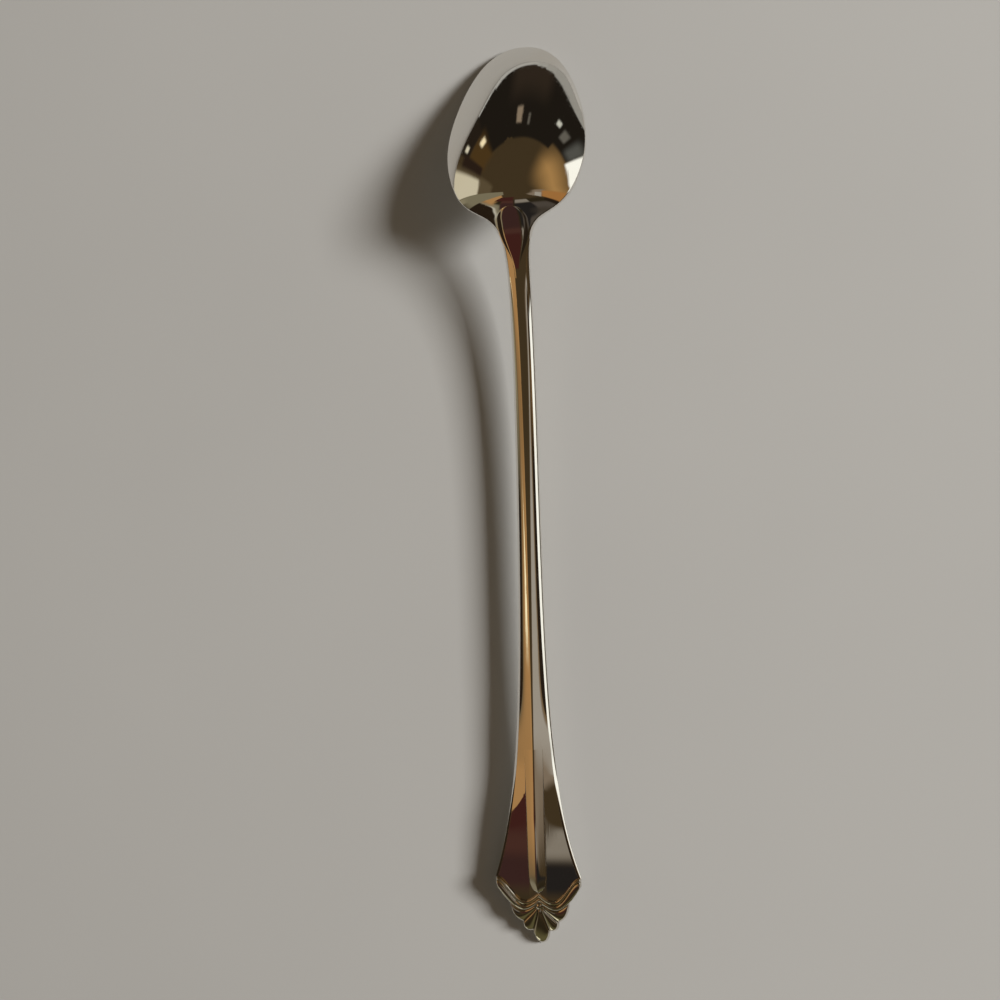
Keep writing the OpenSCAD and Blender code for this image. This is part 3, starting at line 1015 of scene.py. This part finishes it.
@dataclass
class HandleEnd:
    """Flared end of the handle: two panels in one plate, with the rib down its middle."""

    form: SpoonForm
    shank: Shank
    rows: int = 90
    flat_columns: int = 8
    panel_columns: int = 26
    rib_rows: int = 110
    rib_columns: int = 40
    rib_edge: float = 0.14
    least_edge: float = 0.01
    rib_seat: float = 0.01
    tongue_round: float = 4.0
    tongue_crowding: float = 1.5
    tongue_least: float = 0.0004

    STEP = 1e-4

    @cached_property
    def border_half(self) -> float:
        """Half width at the ends of the upper border."""
        form = self.form
        return float(form.half_width(np.array([form.corner_station + UPPER_BORDER.corner]))[0])

    def columns(self) -> Pair:
        """Places of the back's columns.

        Returns:
            Shares of the rib's half width, and shares of the way from the rib out to the flat edge.
        """
        flat = np.linspace(0, 1, self.flat_columns + 1)
        out = np.linspace(0, 1, self.panel_columns + 1)[1:]
        rib = np.concatenate([flat, np.ones_like(out)])
        panel = np.concatenate([np.zeros_like(flat), out])
        sign = np.concatenate([-np.ones(len(rib) - 1), np.ones(len(rib))])
        return sign * np.concatenate([rib[:0:-1], rib]), sign * np.concatenate([panel[:0:-1], panel])

    def sections(self, t: Array) -> Pair:
        """Upper and lower halves of the sections, which turn from square to the border's shape.

        Args:
            t: Shares of the way from the stem to the border.

        Returns:
            Two grids of points with a row for each share, from -x to +x.
        """
        form = self.form
        edge_s = mix(form.panel_station, form.corner_station + UPPER_BORDER.corner, t)
        width = form.half_width(edge_s)[:, None]
        flat = self.shank.flat_half(edge_s)[:, None]

        def station(across: Array) -> Array:
            """Stations of rows of places across."""
            on_border = across / width * self.border_half
            reach = form.corner_station + UPPER_BORDER.at(on_border, self.border_half)
            return mix(form.panel_station, reach, t[:, None])

        rib, panel = self.columns()
        x = rib * form.rib_half + panel * (flat - form.rib_half)
        return self.shank.halves(form.panel_z, edge_s, x, station)

    def panel(self) -> Piece:
        """The plate that holds the two panels."""
        rows = np.linspace(0, 1, self.rows + 1)
        return self.shank.bar("handle_panel", rows, self.STEP, self.sections, self.form.panel_normal)

    def rib(self) -> Piece:
        """Builds the rib, with a rounded tongue at its end.

        Returns:
            The piece.
        """
        form = self.form
        last = form.corner_station + UPPER_BORDER.middle
        t = np.linspace(0, 1, self.rib_rows + 1)
        s = mix(form.panel_station, last, 1 - (1 - t) ** self.tongue_crowding)
        to_end = np.clip((last - s) / self.tongue_round, 0, 1)
        half = form.rib_half * np.sqrt(np.maximum(self.tongue_least, 1 - (1 - to_end) ** 2))
        share = np.sin(np.pi / 2 * np.linspace(-1, 1, self.rib_columns + 1))
        x = half[:, None] * share
        narrow = (half / form.rib_half)[:, None]
        lift = (form.roof(form.rib_half) - form.roof(share * form.rib_half)) * np.sqrt(narrow)
        edge = np.minimum(self.rib_edge, np.maximum(form.step_at(s), self.least_edge))[:, None]
        inside = half[:, None] * (1 - np.abs(share))
        fall = 1 - round_off(inside, edge)
        base_z = form.bed_z(s)[:, None] + np.zeros_like(x)
        crest = (form.ridge_z(s) - form.roof(form.rib_half))[:, None] + lift
        top = form.place(s[:, None], x, np.maximum(base_z, crest - fall * edge))
        base = form.place(s[:, None], x, base_z - self.rib_seat)
        skin = Skin()
        skin.add_slab((top, base), [grid_normals(top, UP), np.broadcast_to(-UP, base.shape)], level=True)
        return Piece("spine_rib", skin, Slot.POLISHED)

    def pieces(self) -> list[Piece]:
        """The plate and the rib."""
        return [self.panel(), self.rib()]


@dataclass
class ShellOrnament:
    """Scrolled shell on the end of the handle: two rolls a side, petals, lobes and a bead."""

    form: SpoonForm
    border_half: float
    roll_height: float = 0.45
    thin_roll: float = 0.75
    roll_end: float = 0.55
    side_share: float = 0.85
    petal_share: float = 0.7
    bead_share: float = 0.8
    bead_clearance: float = 0.03
    centre_angle: float = 17.0
    side_angle: float = 45.5
    petal_angle: float = 111.0
    centre_notch: float = 6.2
    side_notch: float = 5.5
    side_bulge: float = 0.65
    petal_bulge: float = 0.8
    petal_lean: float = 48.0
    petal_end_share: float = 0.7
    end_round: float = 0.6
    across: int = 28
    along: int = 72
    bead_turns: int = 64
    bead_rings: int = 24

    SWELL_POWER = 0.6
    LEAST_RIM = 0.02

    def swell(self, q: Array) -> Array:
        """Round back of a roll or lobe, from edge to edge."""
        return np.maximum(0, 1 - (2 * q - 1) ** 2) ** self.SWELL_POWER

    def lower_v(self, x: Array) -> Array:
        """Lower border, which makes way for the bead.

        Args:
            x: Places across.

        Returns:
            Its distance past the corners at each place.
        """
        line = LOWER_BORDER.at(x, self.border_half)
        radius = self.form.bead_radius
        room = self.form.bead_v - np.sqrt(np.maximum(0, radius**2 - x * x))
        return np.where(np.abs(x) < radius, np.minimum(room, line), line)

    def ray(self, angle: Array, r: Array) -> Array:
        """Place on a ray from the bead, as [x, v], for an angle from the axis in degrees."""
        a = np.radians(angle)
        return np.stack([r * np.sin(a), self.form.bead_v + r * np.cos(a)], axis=-1)

    def lay(self, grid: Array, off: Array) -> Array:
        """Lays places on the sloping end of the handle.

        Args:
            grid: Places [x, v].
            off: Heights off the mid plane of the ornament.

        Returns:
            The points, none of them under the table.
        """
        form = self.form
        s = form.corner_station + grid[..., 1]
        return form.above_table(form.place(s, grid[..., 0], form.ridge_z(s) - form.tip_mid + off))

    def relief(self, name: str, grid: Array, rise: Array, rim: Array, side: Side) -> Piece:
        """Builds a raised piece on both faces of the ornament.

        Args:
            name: Name of the solid.
            grid: Places [x, v] on the +x side, rows by columns.
            rise: Height of the relief above the valleys.
            rim: Share of the full thickness, which falls to 0 at a rounded outer edge.
            side: Side of the spoon.

        Returns:
            The piece.
        """
        form = self.form
        grid = grid * np.array([side.value, 1.0])
        rim = np.maximum(rim, self.LEAST_RIM)
        top = self.lay(grid, (form.valley_half + rise) * rim)
        base = self.lay(grid, -(form.valley_half + form.face_relief * rise) * rim)
        valley = 1 - np.clip(rise / max(float(rise.max()), 1e-6), 0, 1)
        skin = Skin()
        skin.add_grid(top, grid_normals(top, UP), valley=valley)
        skin.add_grid(base, grid_normals(base, -UP), valley=valley)
        middle = (top + base).reshape(-1, 3).mean(axis=0) / 2
        for upper, lower in (
            (top[0], base[0]),
            (top[-1], base[-1]),
            (top[:, 0], base[:, 0]),
            (top[:, -1], base[:, -1]),
        ):
            wall = np.stack([upper, lower])
            run = slope_along(wall, 1)[0]
            out = unit(np.stack([run[:, 1], -run[:, 0], np.zeros(len(run))], axis=-1))
            out *= np.sign(np.sum(out * (upper - middle)))
            skin.add_grid(wall, np.broadcast_to(out, wall.shape))
        return Piece(name, skin, Slot.RELIEF)

    def roll(self, name: str, first: Array, second: Array, x: Array, height: float, side: Side) -> Piece:
        """Builds a roll between two borders.

        Args:
            name: Name of the solid.
            first: Distances past the corners along its upper side.
            second: Distances along its lower side.
            x: Places across.
            height: Height above the valleys.
            side: Side of the spoon.

        Returns:
            The piece.
        """
        q = cosine_steps(self.across)[:, None]
        v = mix(first, second, q)
        grid = np.stack([x + np.zeros_like(v), v], axis=-1)
        reach = x / self.border_half
        rise = height * self.swell(q) * mix(1.0, self.roll_end, reach**3)
        rim = round_off(self.border_half - x, self.end_round) + np.zeros_like(v)
        return self.relief(name, grid, rise, rim, side)

    def lobe(
        self, name: str, angles: Range, notches: Range, bulge: float, height: float, side: Side
    ) -> Piece:
        """Builds a lobe between two rays, with a scalloped end.

        Args:
            name: Name of the solid.
            angles: Angles of its two sides.
            notches: Distances from the bead to its two notches.
            bulge: How far its end bulges past the notches.
            height: Height above the valleys.
            side: Side of the spoon.

        Returns:
            The piece.
        """
        form = self.form
        q = cosine_steps(self.across)
        along = np.sin(np.pi / 2 * np.linspace(0, 1, self.along + 1))[:, None]
        reach = mix(notches[0], notches[1], q) + bulge * np.sin(np.pi * q)
        r = mix(form.bead_radius, reach, along)
        grid = self.ray(mix(angles[0], angles[1], q) + np.zeros_like(r), r)
        rise = height * self.swell(q) * form.lobe_profile(along)
        rim = round_off(reach - r, self.end_round)
        return self.relief(name, grid, rise, rim, side)

    def petal(self, side: Side) -> Piece:
        """Builds the petal between the side lobe and the lower roll.

        Args:
            side: Side of the spoon.

        Returns:
            The piece.
        """
        form = self.form
        q = cosine_steps(self.across)[None, :, None]
        t = np.sin(np.pi / 2 * np.linspace(0, 1, self.along + 1))[:, None, None]
        start = form.bead_radius * math.sin(math.radians(self.petal_angle))
        x = mix(start, self.border_half * self.petal_end_share, t[..., 0])
        on_roll = np.stack([x, self.lower_v(x)], axis=-1)
        root = self.ray(mix(self.side_angle, self.petal_angle, q[..., 0]), np.array(form.bead_radius))
        lean = np.radians(self.petal_lean)
        bulge = self.petal_bulge * np.array([math.cos(lean), math.sin(lean)]) * np.sin(np.pi * q)
        end = mix(self.ray(np.array(self.side_angle), np.array(self.side_notch)), on_roll[-1:], q) + bulge
        straight = mix(root, end, t)
        upper_side = mix(root[:, -1:], end[:, -1:], t)
        grid = straight + q * (on_roll - upper_side)
        rise = form.lobe_height * self.petal_share * self.swell(q[..., 0]) * form.lobe_profile(t[..., 0])
        rim = round_off(np.linalg.norm(grid - grid[-1:], axis=-1), self.end_round)
        return self.relief(f"petal_{side.word}", grid, rise, rim, side)

    def bead(self) -> Piece:
        """Builds the bead at the root of the lobes, a ball cut to a short post.

        Returns:
            The piece.
        """
        form = self.form
        ball = form.valley_half + form.lobe_height * self.bead_share
        post = form.bead_radius - self.bead_clearance
        turn = np.linspace(0, 2 * np.pi, self.bead_turns, endpoint=False)
        polar = np.linspace(0, math.asin(min(1.0, post / ball)), self.bead_rings)[:, None]
        s = form.corner_station + form.bead_v
        centre = form.place(s, 0.0, form.ridge_z(s) - form.tip_mid)
        skin = Skin()
        rims = []
        out = np.stack([np.cos(turn), np.sin(turn), np.zeros_like(turn)], axis=-1)
        for pole in (UP, -UP):
            normal = np.sin(polar)[..., None] * out + np.cos(polar)[..., None] * pole
            points = centre + ball * normal
            skin.add_grid(points, normal, closed=True)
            rims.append(points[-1])
        skin.add_grid(np.stack(rims), np.broadcast_to(out, (2, *out.shape)), closed=True)
        return Piece("root_bead", skin, Slot.RELIEF)

    def pieces(self) -> list[Piece]:
        """Builds all pieces of the ornament.

        Returns:
            The pieces, side by side.
        """
        form = self.form
        x = self.border_half * np.sin(np.pi / 2 * np.linspace(0, 1, self.along + 1))
        upper = UPPER_BORDER.at(x, self.border_half)
        middle = MIDDLE_BORDER.at(x, self.border_half)
        lower = self.lower_v(x)
        thin = self.roll_height * self.thin_roll
        side_height = form.lobe_height * self.side_share
        pieces = []
        for side in Side:
            pieces.append(self.roll(f"upper_roll_{side.word}", upper, middle, x, thin, side))
            pieces.append(self.roll(f"lower_roll_{side.word}", middle, lower, x, self.roll_height, side))
            pieces.append(self.petal(side))
            pieces.append(
                self.lobe(
                    f"side_lobe_{side.word}",
                    (self.centre_angle, self.side_angle),
                    (self.centre_notch, self.side_notch),
                    self.side_bulge,
                    side_height,
                    side,
                )
            )
        centre_bulge = form.tip_length - form.bead_v - self.centre_notch
        pieces.append(
            self.lobe(
                "centre_lobe",
                (-self.centre_angle, self.centre_angle),
                (self.centre_notch, self.centre_notch),
                centre_bulge,
                form.lobe_height,
                Side.RIGHT,
            )
        )
        pieces.append(self.bead())
        return pieces


# Finishes


def rgba(colour: Triple) -> tuple[float, float, float, float]:
    """An opaque colour."""
    return (*colour, 1.0)


class Shader:
    """Nodes of a material or of the world, and the links between them."""

    def __init__(self, owner: bpy.types.Material | bpy.types.World) -> None:
        """Starts with the nodes that the owner comes with."""
        owner.use_nodes = True
        self.nodes = owner.node_tree.nodes
        self.links = owner.node_tree.links

    def feed(self, node: bpy.types.Node, values: dict[str | int, Any]) -> None:
        """Sets or links the inputs of a node.

        Args:
            node: The node.
            values: Values, or outputs of other nodes, by the names or numbers of the inputs.
        """
        for name, value in values.items():
            if isinstance(value, bpy.types.NodeSocket):
                self.links.new(value, node.inputs[name])
            else:
                node.inputs[name].default_value = value

    def add(
        self, kind: str, output: str, values: dict[str | int, Any] | None = None, **settings: str
    ) -> bpy.types.NodeSocket:
        """Adds a node.

        Args:
            kind: Type of the node, without the words that all types begin with.
            output: Name of the output that is wanted.
            values: Its inputs.
            settings: Its other settings.

        Returns:
            The output.
        """
        node = self.nodes.new("ShaderNode" + kind)
        for name, value in settings.items():
            setattr(node, name, value)
        self.feed(node, values or {})
        return node.outputs[output]

    def sum(self, kind: str, *values: float | bpy.types.NodeSocket) -> bpy.types.NodeSocket:
        """One sum of numbers and outputs."""
        return self.add("Math", "Value", dict(enumerate(values)), operation=kind)

    def remap(
        self, value: bpy.types.NodeSocket, source: Range, target: Range = (0.0, 1.0), kind: str = "LINEAR"
    ) -> bpy.types.NodeSocket:
        """Maps one range of a value onto another.

        Args:
            value: The value.
            source: Its range.
            target: What the range becomes.
            kind: How it runs in between.

        Returns:
            The mapped value.
        """
        ends = {"From Min": source[0], "From Max": source[1], "To Min": target[0], "To Max": target[1]}
        return self.add("MapRange", "Result", {"Value": value, **ends}, interpolation_type=kind)

    def blend(self, share: bpy.types.NodeSocket, first: Any, second: Any) -> bpy.types.NodeSocket:
        """Blend of two colours, which may be outputs."""
        return self.add("Mix", "Result", {"Factor": share, "A": first, "B": second}, data_type="RGBA")


@dataclass(frozen=True)
class MetalFinish:
    """Polished metal with faint haze, hairline scratches and darker valleys."""

    name: str
    colour: Triple
    tarnish: Triple
    roughness: Range
    haze_scale: float = 90.0
    haze_detail: float = 5.0
    haze_range: Range = (0.35, 0.7)
    scratch_scale: Triple = (2600.0, 220.0, 2600.0)
    scratch_detail: float = 3.0
    scratch_range: Range = (0.6, 0.75)
    scratch_height: float = 0.0000012
    worn_range: Range = (0.45, 0.8)
    worn_tarnish: float = 0.35
    valley_tarnish: float = 0.0
    valley_power: float = 3.0

    def material(self) -> bpy.types.Material:
        """Makes the material.

        Returns:
            A node material for the metal.
        """
        material = bpy.data.materials.new(self.name)
        shader = Shader(material)
        place = shader.add("TexCoord", "Object")
        haze_sizes = {"Vector": place, "Scale": self.haze_scale, "Detail": self.haze_detail}
        haze = shader.add("TexNoise", "Fac", haze_sizes)
        stretch = shader.add("Mapping", "Vector", {"Vector": place, "Scale": self.scratch_scale})
        scratch_sizes = {"Vector": stretch, "Scale": 1.0, "Detail": self.scratch_detail}
        scratches = shader.remap(shader.add("TexNoise", "Fac", scratch_sizes), self.scratch_range)
        heights = {"Strength": 1.0, "Distance": self.scratch_height, "Height": scratches}
        worn = shader.remap(haze, self.worn_range, (0.0, self.worn_tarnish))
        valley = shader.add("Attribute", "Fac", attribute_name=VALLEY)
        deep = shader.sum("POWER", valley, self.valley_power)
        shade = shader.sum("MULTIPLY_ADD", deep, self.valley_tarnish, worn)
        surface = {
            "Metallic": 1.0,
            "Base Color": shader.blend(shade, rgba(self.colour), rgba(self.tarnish)),
            "Roughness": shader.remap(haze, self.haze_range, self.roughness),
            "Normal": shader.add("Bump", "Normal", heights),
        }
        shader.feed(shader.nodes["Principled BSDF"], surface)
        return material


POLISHED = MetalFinish("polished_metal", (0.86, 0.84, 0.8), (0.8, 0.74, 0.64), (0.02, 0.05))
RELIEF = MetalFinish(
    "relief_metal", (0.82, 0.79, 0.72), (0.3, 0.25, 0.17), (0.04, 0.09), valley_tarnish=0.65
)


# Table, light and room


@dataclass(frozen=True)
class Card:
    """A soft-edged bright or dark stretch of the room, in degrees of azimuth and elevation.

    Azimuth is 0 towards +Y and 90 towards +X.
    """

    azimuth: Range
    elevation: Range
    colour: Triple
    soft: float


class Facing(Enum):
    """The level axis that an upright screen runs along."""

    ACROSS = "X"
    ALONG = "Y"


def flat_sheet(name: str, corners: list[Triple], material: bpy.types.Material) -> bpy.types.Object:
    """Makes a flat sheet of the studio.

    Args:
        name: Name of the sheet.
        corners: Its four corners in turn, in metres.
        material: Its material.

    Returns:
        The object.
    """
    mesh = bpy.data.meshes.new(name)
    mesh.from_pydata(corners, [], [(0, 1, 2, 3)])
    mesh.materials.append(material)
    sheet = bpy.data.objects.new(name, mesh)
    bpy.context.scene.collection.objects.link(sheet)
    return sheet


@dataclass(frozen=True)
class Screen:
    """An upright dim screen near the spoon, which only the metal sees. Sizes are in metres."""

    name: str
    facing: Facing
    place: float
    span: Range
    height: Range
    colour: Triple
    soft: Range = (0.2, 0.2)

    def cover(self, shader: Shader) -> bpy.types.NodeSocket:
        """How much of the room the screen hides, from 0 at its edges to 1 inside.

        Args:
            shader: Nodes of its material.

        Returns:
            The share.
        """
        place = shader.add("TexCoord", "Generated")
        shares = []
        for axis, soft in zip((self.facing.value, "Z"), self.soft):
            along = shader.add("SeparateXYZ", axis, {"Vector": place})
            from_edge = shader.sum("PINGPONG", along, 0.5)
            shares.append(shader.remap(from_edge, (0.0, soft), kind="SMOOTHSTEP"))
        return shader.sum("MULTIPLY", *shares)

    def build(self) -> None:
        """Stands the screen up beside the spoon."""
        material = bpy.data.materials.new(self.name)
        shader = Shader(material)
        shader.nodes.remove(shader.nodes["Principled BSDF"])
        glow = shader.add("Emission", "Emission", {"Color": rgba(self.colour)})
        clear = shader.add("BsdfTransparent", "BSDF")
        shaded = shader.add("MixShader", "Shader", {"Fac": self.cover(shader), 1: clear, 2: glow})
        shader.feed(shader.nodes["Material Output"], {"Surface": shaded})
        (start, end), (low, high) = self.span, self.height
        flat = [(start, low), (end, low), (end, high), (start, high)]
        across = self.facing is Facing.ACROSS
        corners = [(u, self.place, z) if across else (self.place, u, z) for u, z in flat]
        screen = flat_sheet(self.name, corners, material)
        screen.visible_camera = False
        screen.visible_diffuse = False
        screen.visible_shadow = False
        screen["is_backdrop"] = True


@dataclass
class Studio:
    """Pale table, soft lamps, and a dim room for the metal to mirror."""

    table_size: float = 8.0
    table_colour: Triple = (0.46, 0.452, 0.43)
    table_roughness: float = 0.7
    table_gloss: float = 0.2
    mottle_scale: float = 14.0
    mottle_shade: float = 0.94
    key_power: float = 94.0
    key_place: Triple = (2.12, 0.45, 1.226)
    key_size: float = 0.66
    fill_power: float = 1.0
    fill_place: Triple = (0.1, -0.2, 1.2)
    fill_size: float = 1.2
    room_colour: Triple = (0.054, 0.036, 0.017)
    cards: list[Card] = field(default_factory=list)
    screens: list[Screen] = field(default_factory=list)

    def table(self) -> None:
        """Lays the table under the spoon."""
        material = bpy.data.materials.new("table_top")
        shader = Shader(material)
        place = shader.add("TexCoord", "Object")
        mottle = shader.add("TexNoise", "Fac", {"Vector": place, "Scale": self.mottle_scale})
        darker = tuple(self.mottle_shade * part for part in self.table_colour)
        surface = {
            "Base Color": shader.blend(mottle, rgba(self.table_colour), rgba(darker)),
            "Roughness": self.table_roughness,
            "Specular IOR Level": self.table_gloss,
        }
        shader.feed(shader.nodes["Principled BSDF"], surface)
        half = self.table_size / 2
        corners = [(-half, -half, 0.0), (half, -half, 0.0), (half, half, 0.0), (-half, half, 0.0)]
        table = flat_sheet("table", corners, material)
        table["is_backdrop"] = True

    def lamp(self, name: str, place: Triple, size: float, power: float) -> None:
        """Hangs a soft lamp that shines on the spoon.

        Args:
            name: Name of the lamp.
            place: Where it hangs, in metres.
            size: Width of its square panel, in metres.
            power: Power in watts.
        """
        light = bpy.data.lights.new(name, "AREA")
        light.shape = "SQUARE"
        light.size = size
        light.energy = power
        lamp = bpy.data.objects.new(name, light)
        lamp.location = place
        lamp.rotation_euler = Vector(place).to_track_quat("Z", "Y").to_euler()
        lamp.visible_glossy = False
        bpy.context.scene.collection.objects.link(lamp)

    def band(
        self, shader: Shader, angle: bpy.types.NodeSocket, ends: Range, soft: float
    ) -> bpy.types.NodeSocket:
        """Share of 1 between two angles, with soft edges, right round the room.

        Args:
            shader: Nodes of the room.
            angle: The angle.
            ends: First and last angle.
            soft: Width of the soft edges.

        Returns:
            The share.
        """
        low, high = ends
        half = (high - low) / 2
        away = shader.sum("WRAP", shader.sum("SUBTRACT", angle, (low + high) / 2), 180.0, -180.0)
        edges = (half - soft / 2, half + soft / 2)
        return shader.remap(shader.sum("ABSOLUTE", away), edges, (1.0, 0.0), "SMOOTHSTEP")

    def room(self) -> None:
        """Builds the room as the world's shader, with each card laid over those before it."""
        world = bpy.data.worlds.new("room")
        bpy.context.scene.world = world
        shader = Shader(world)
        place = shader.add("TexCoord", "Generated")
        x, y, z = (shader.add("SeparateXYZ", axis, {"Vector": place}) for axis in "XYZ")
        turn = shader.sum("DEGREES", shader.sum("ARCTAN2", x, y))
        climb = shader.sum("DEGREES", shader.sum("ARCSINE", z))
        colour: Any = rgba(self.room_colour)
        for card in self.cards:
            across = self.band(shader, turn, card.azimuth, card.soft)
            upward = self.band(shader, climb, card.elevation, card.soft)
            colour = shader.blend(shader.sum("MULTIPLY", across, upward), colour, rgba(card.colour))
        shader.feed(shader.nodes["Background"], {"Color": colour})

    def build(self) -> None:
        """Sets up the table, the lamps and the room."""
        self.table()
        self.lamp("key_lamp", self.key_place, self.key_size, self.key_power)
        self.lamp("fill_lamp", self.fill_place, self.fill_size, self.fill_power)
        self.room()
        for screen in self.screens:
            screen.build()
        bpy.context.scene.view_settings.view_transform = "Standard"


CEILING_GLOW = [
    Card((40, 108), (34, 56), (0.44, 0.25, 0.088), 34.0),
    Card((86, 140), (57, 70), (0.22, 0.17, 0.12), 8.0),
]
FAR_WALL = [
    Card((-42, 36), (-5, 34), (0.0135, 0.0105, 0.0075), 3.0),
    Card((30, 60), (-5, 28), (0.0135, 0.0105, 0.0075), 4.0),
    Card((-14, 16), (-5, 11), (0.03, 0.021, 0.014), 10.0),
    Card((50, 61), (10, 25), (0.09, 0.09, 0.08), 8.0),
    Card((-60, -38), (12, 36), (0.072, 0.04, 0.0125), 8.0),
    Card((-60, -40), (-5, 12), (0.02, 0.014, 0.009), 3.0),
    Card((-70, -58), (6, 34), (0.024, 0.014, 0.009), 4.0),
]
FAR_TABLE = [
    Card((-180, 180), (-5, 0.0), (0.4, 0.39, 0.36), 0.3),
    Card((-40, 60), (-5, 0.8), (0.42, 0.41, 0.38), 0.6),
    Card((-28, 60), (-5, 1.5), (0.42, 0.41, 0.38), 0.6),
    Card((2, 58), (-5, 2.1), (0.37, 0.36, 0.33), 0.6),
    Card((9, 57), (-5, 2.7), (0.34, 0.33, 0.3), 0.6),
    Card((16, 56), (-5, 3.2), (0.32, 0.31, 0.28), 0.6),
]
LEFT_WALL = [
    Card((-126, -67), (-5, 52), (0.105, 0.077, 0.041), 6.0),
    Card((-122, -80), (-5, 27), (0.29, 0.25, 0.16), 16.0),
    Card((-90, -70), (-5, 33), (0.62, 0.56, 0.41), 4.0),
    Card((-92, -90), (-5, 36), (0.08, 0.06, 0.03), 1.5),
]
NEAR_SIDE = [
    Card((140, 224), (-5, 50), (0.026, 0.019, 0.0095), 12.0),
    Card((-152, -122), (-5, 28), (0.22, 0.19, 0.125), 8.0),
    Card((-147, -136), (10, 20), (0.5, 0.47, 0.38), 4.0),
    Card((148, 168), (22, 34), (0.075, 0.062, 0.05), 8.0),
]
WINDOW = [Card((61, 98), (8, 29), (1.1, 1.1, 1.02), 3.0)]
GLINTS = [
    Card((-45, -39), (16, 21), (1.0, 0.85, 0.55), 3.0),
    Card((-57, -53), (4, 8), (0.7, 0.65, 0.5), 2.0),
    Card((-8, -3), (16, 24), (0.26, 0.2, 0.14), 2.0),
    Card((3, 5), (19, 25), (0.12, 0.11, 0.09), 1.5),
    Card((29, 33), (13, 16), (0.6, 0.6, 0.52), 2.0),
    Card((37, 44), (14, 21), (0.13, 0.12, 0.1), 3.0),
]
ROOM_CARDS = [*CEILING_GLOW, *FAR_WALL, *LEFT_WALL, *NEAR_SIDE, *WINDOW, *GLINTS, *FAR_TABLE]
PANEL_SCREENS = [
    Screen("maroon_screen", Facing.ACROSS, -0.154, (-0.26, -0.03), (0.215, 0.46),
           (0.052, 0.0155, 0.012), (0.1, 0.12)),
    Screen("brown_screen", Facing.ACROSS, -0.152, (-0.13, -0.03), (0.13, 0.275),
           (0.066, 0.027, 0.02), (0.1, 0.4)),
    Screen("umber_screen", Facing.ACROSS, -0.15, (-0.12, -0.03), (0.09, 0.2),
           (0.043, 0.019, 0.0165), (0.1, 0.35)),
    Screen("pale_screen", Facing.ACROSS, -0.154, (-0.03, 0.07), (0.16, 0.3),
           (0.24, 0.21, 0.17), (0.1, 0.35)),
    Screen("dusk_screen", Facing.ACROSS, -0.152, (-0.03, 0.07), (0.09, 0.19),
           (0.0175, 0.015, 0.0135), (0.1, 0.3)),
    Screen("shell_screen", Facing.ACROSS, -0.2, (-0.12, 0.1), (0.0, 0.1),
           (0.105, 0.092, 0.04), (0.2, 0.35)),
    Screen("glint_screen", Facing.ACROSS, -0.198, (-0.075, -0.03), (0.024, 0.052), (1.0, 0.95, 0.7)),
]
SIDE_SCREENS = [
    Screen("gold_screen", Facing.ALONG, -0.2, (-0.225, 0.045), (0.115, 0.5),
           (0.41, 0.225, 0.085), (0.3, 0.16)),
    Screen("streak_screen", Facing.ALONG, -0.198, (-0.075, 0.0), (0.166, 0.184),
           (1.1, 0.95, 0.6), (0.35, 0.4)),
    Screen("left_screen", Facing.ALONG, -0.196, (-0.22, 0.01), (0.0, 0.128),
           (0.02, 0.0125, 0.007), (0.1, 0.1)),
    Screen("olive_screen", Facing.ALONG, -0.03, (0.043, 0.063), (0.016, 0.1),
           (0.2, 0.175, 0.11), (0.08, 0.1)),
    Screen("amber_screen", Facing.ALONG, 0.03, (0.036, 0.064), (0.02, 0.06), (0.37, 0.17, 0.05)),
    Screen("right_screen", Facing.ALONG, 0.2, (-0.25, 0.02), (0.12, 0.31),
           (0.02, 0.013, 0.008), (0.1, 0.12)),
    Screen("upper_screen", Facing.ALONG, 0.202, (-0.165, 0.02), (0.33, 0.5), (0.36, 0.325, 0.275)),
]
SCREENS = [*PANEL_SCREENS, *SIDE_SCREENS]


@dataclass
class PhotoCamera:
    """Camera nearly overhead, a little to the right of the spoon."""

    lean: float = 13.26
    pitch: float = -1.49
    roll: float = -1.33
    distance: float = 0.3533
    frame_height: float = 214.0
    aim: Range = (-7.42, -0.38)
    sensor: float = 36.0
    clip_start: float = 0.01

    def build(self) -> None:
        """Sets up the camera."""
        camera = bpy.data.cameras.new("photo_camera")
        camera.sensor_width = self.sensor
        camera.lens = self.sensor * self.distance / (self.frame_height * MM)
        camera.clip_start = self.clip_start
        eye = bpy.data.objects.new("photo_camera", camera)
        view = Matrix.Identity(4)
        for angle, axis in ((self.lean, "Y"), (self.pitch, "X"), (self.roll, "Z")):
            view = view @ Matrix.Rotation(math.radians(angle), 4, axis)
        target = Vector((self.aim[0] * MM, self.aim[1] * MM, 0.0))
        eye.matrix_world = Matrix.Translation(target + view.to_3x3() @ Vector((0, 0, self.distance))) @ view
        bpy.context.scene.collection.objects.link(eye)
        bpy.context.scene.camera = eye


def main() -> None:
    """Builds the spoon's pieces, the studio and the camera, in order."""
    logging.basicConfig(level=logging.INFO, format="%(name)s: %(message)s")
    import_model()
    solid_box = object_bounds()
    form = SpoonForm.from_frame(*(Vector(corner) for corner in solid_box))
    polished = POLISHED.material()
    relief = RELIEF.material()
    shank = Shank(form)
    handle_end = HandleEnd(form, shank)
    parts = [
        Bowl(form, shank),
        shank,
        HeelDrop(form),
        handle_end,
        ShellOrnament(form, handle_end.border_half),
    ]
    for part in parts:
        for piece in part.pieces():
            piece.put(polished if piece.slot is Slot.POLISHED else relief)
    Studio(cards=ROOM_CARDS, screens=SCREENS).build()
    PhotoCamera().build()


if __name__ == "__main__":
    main()
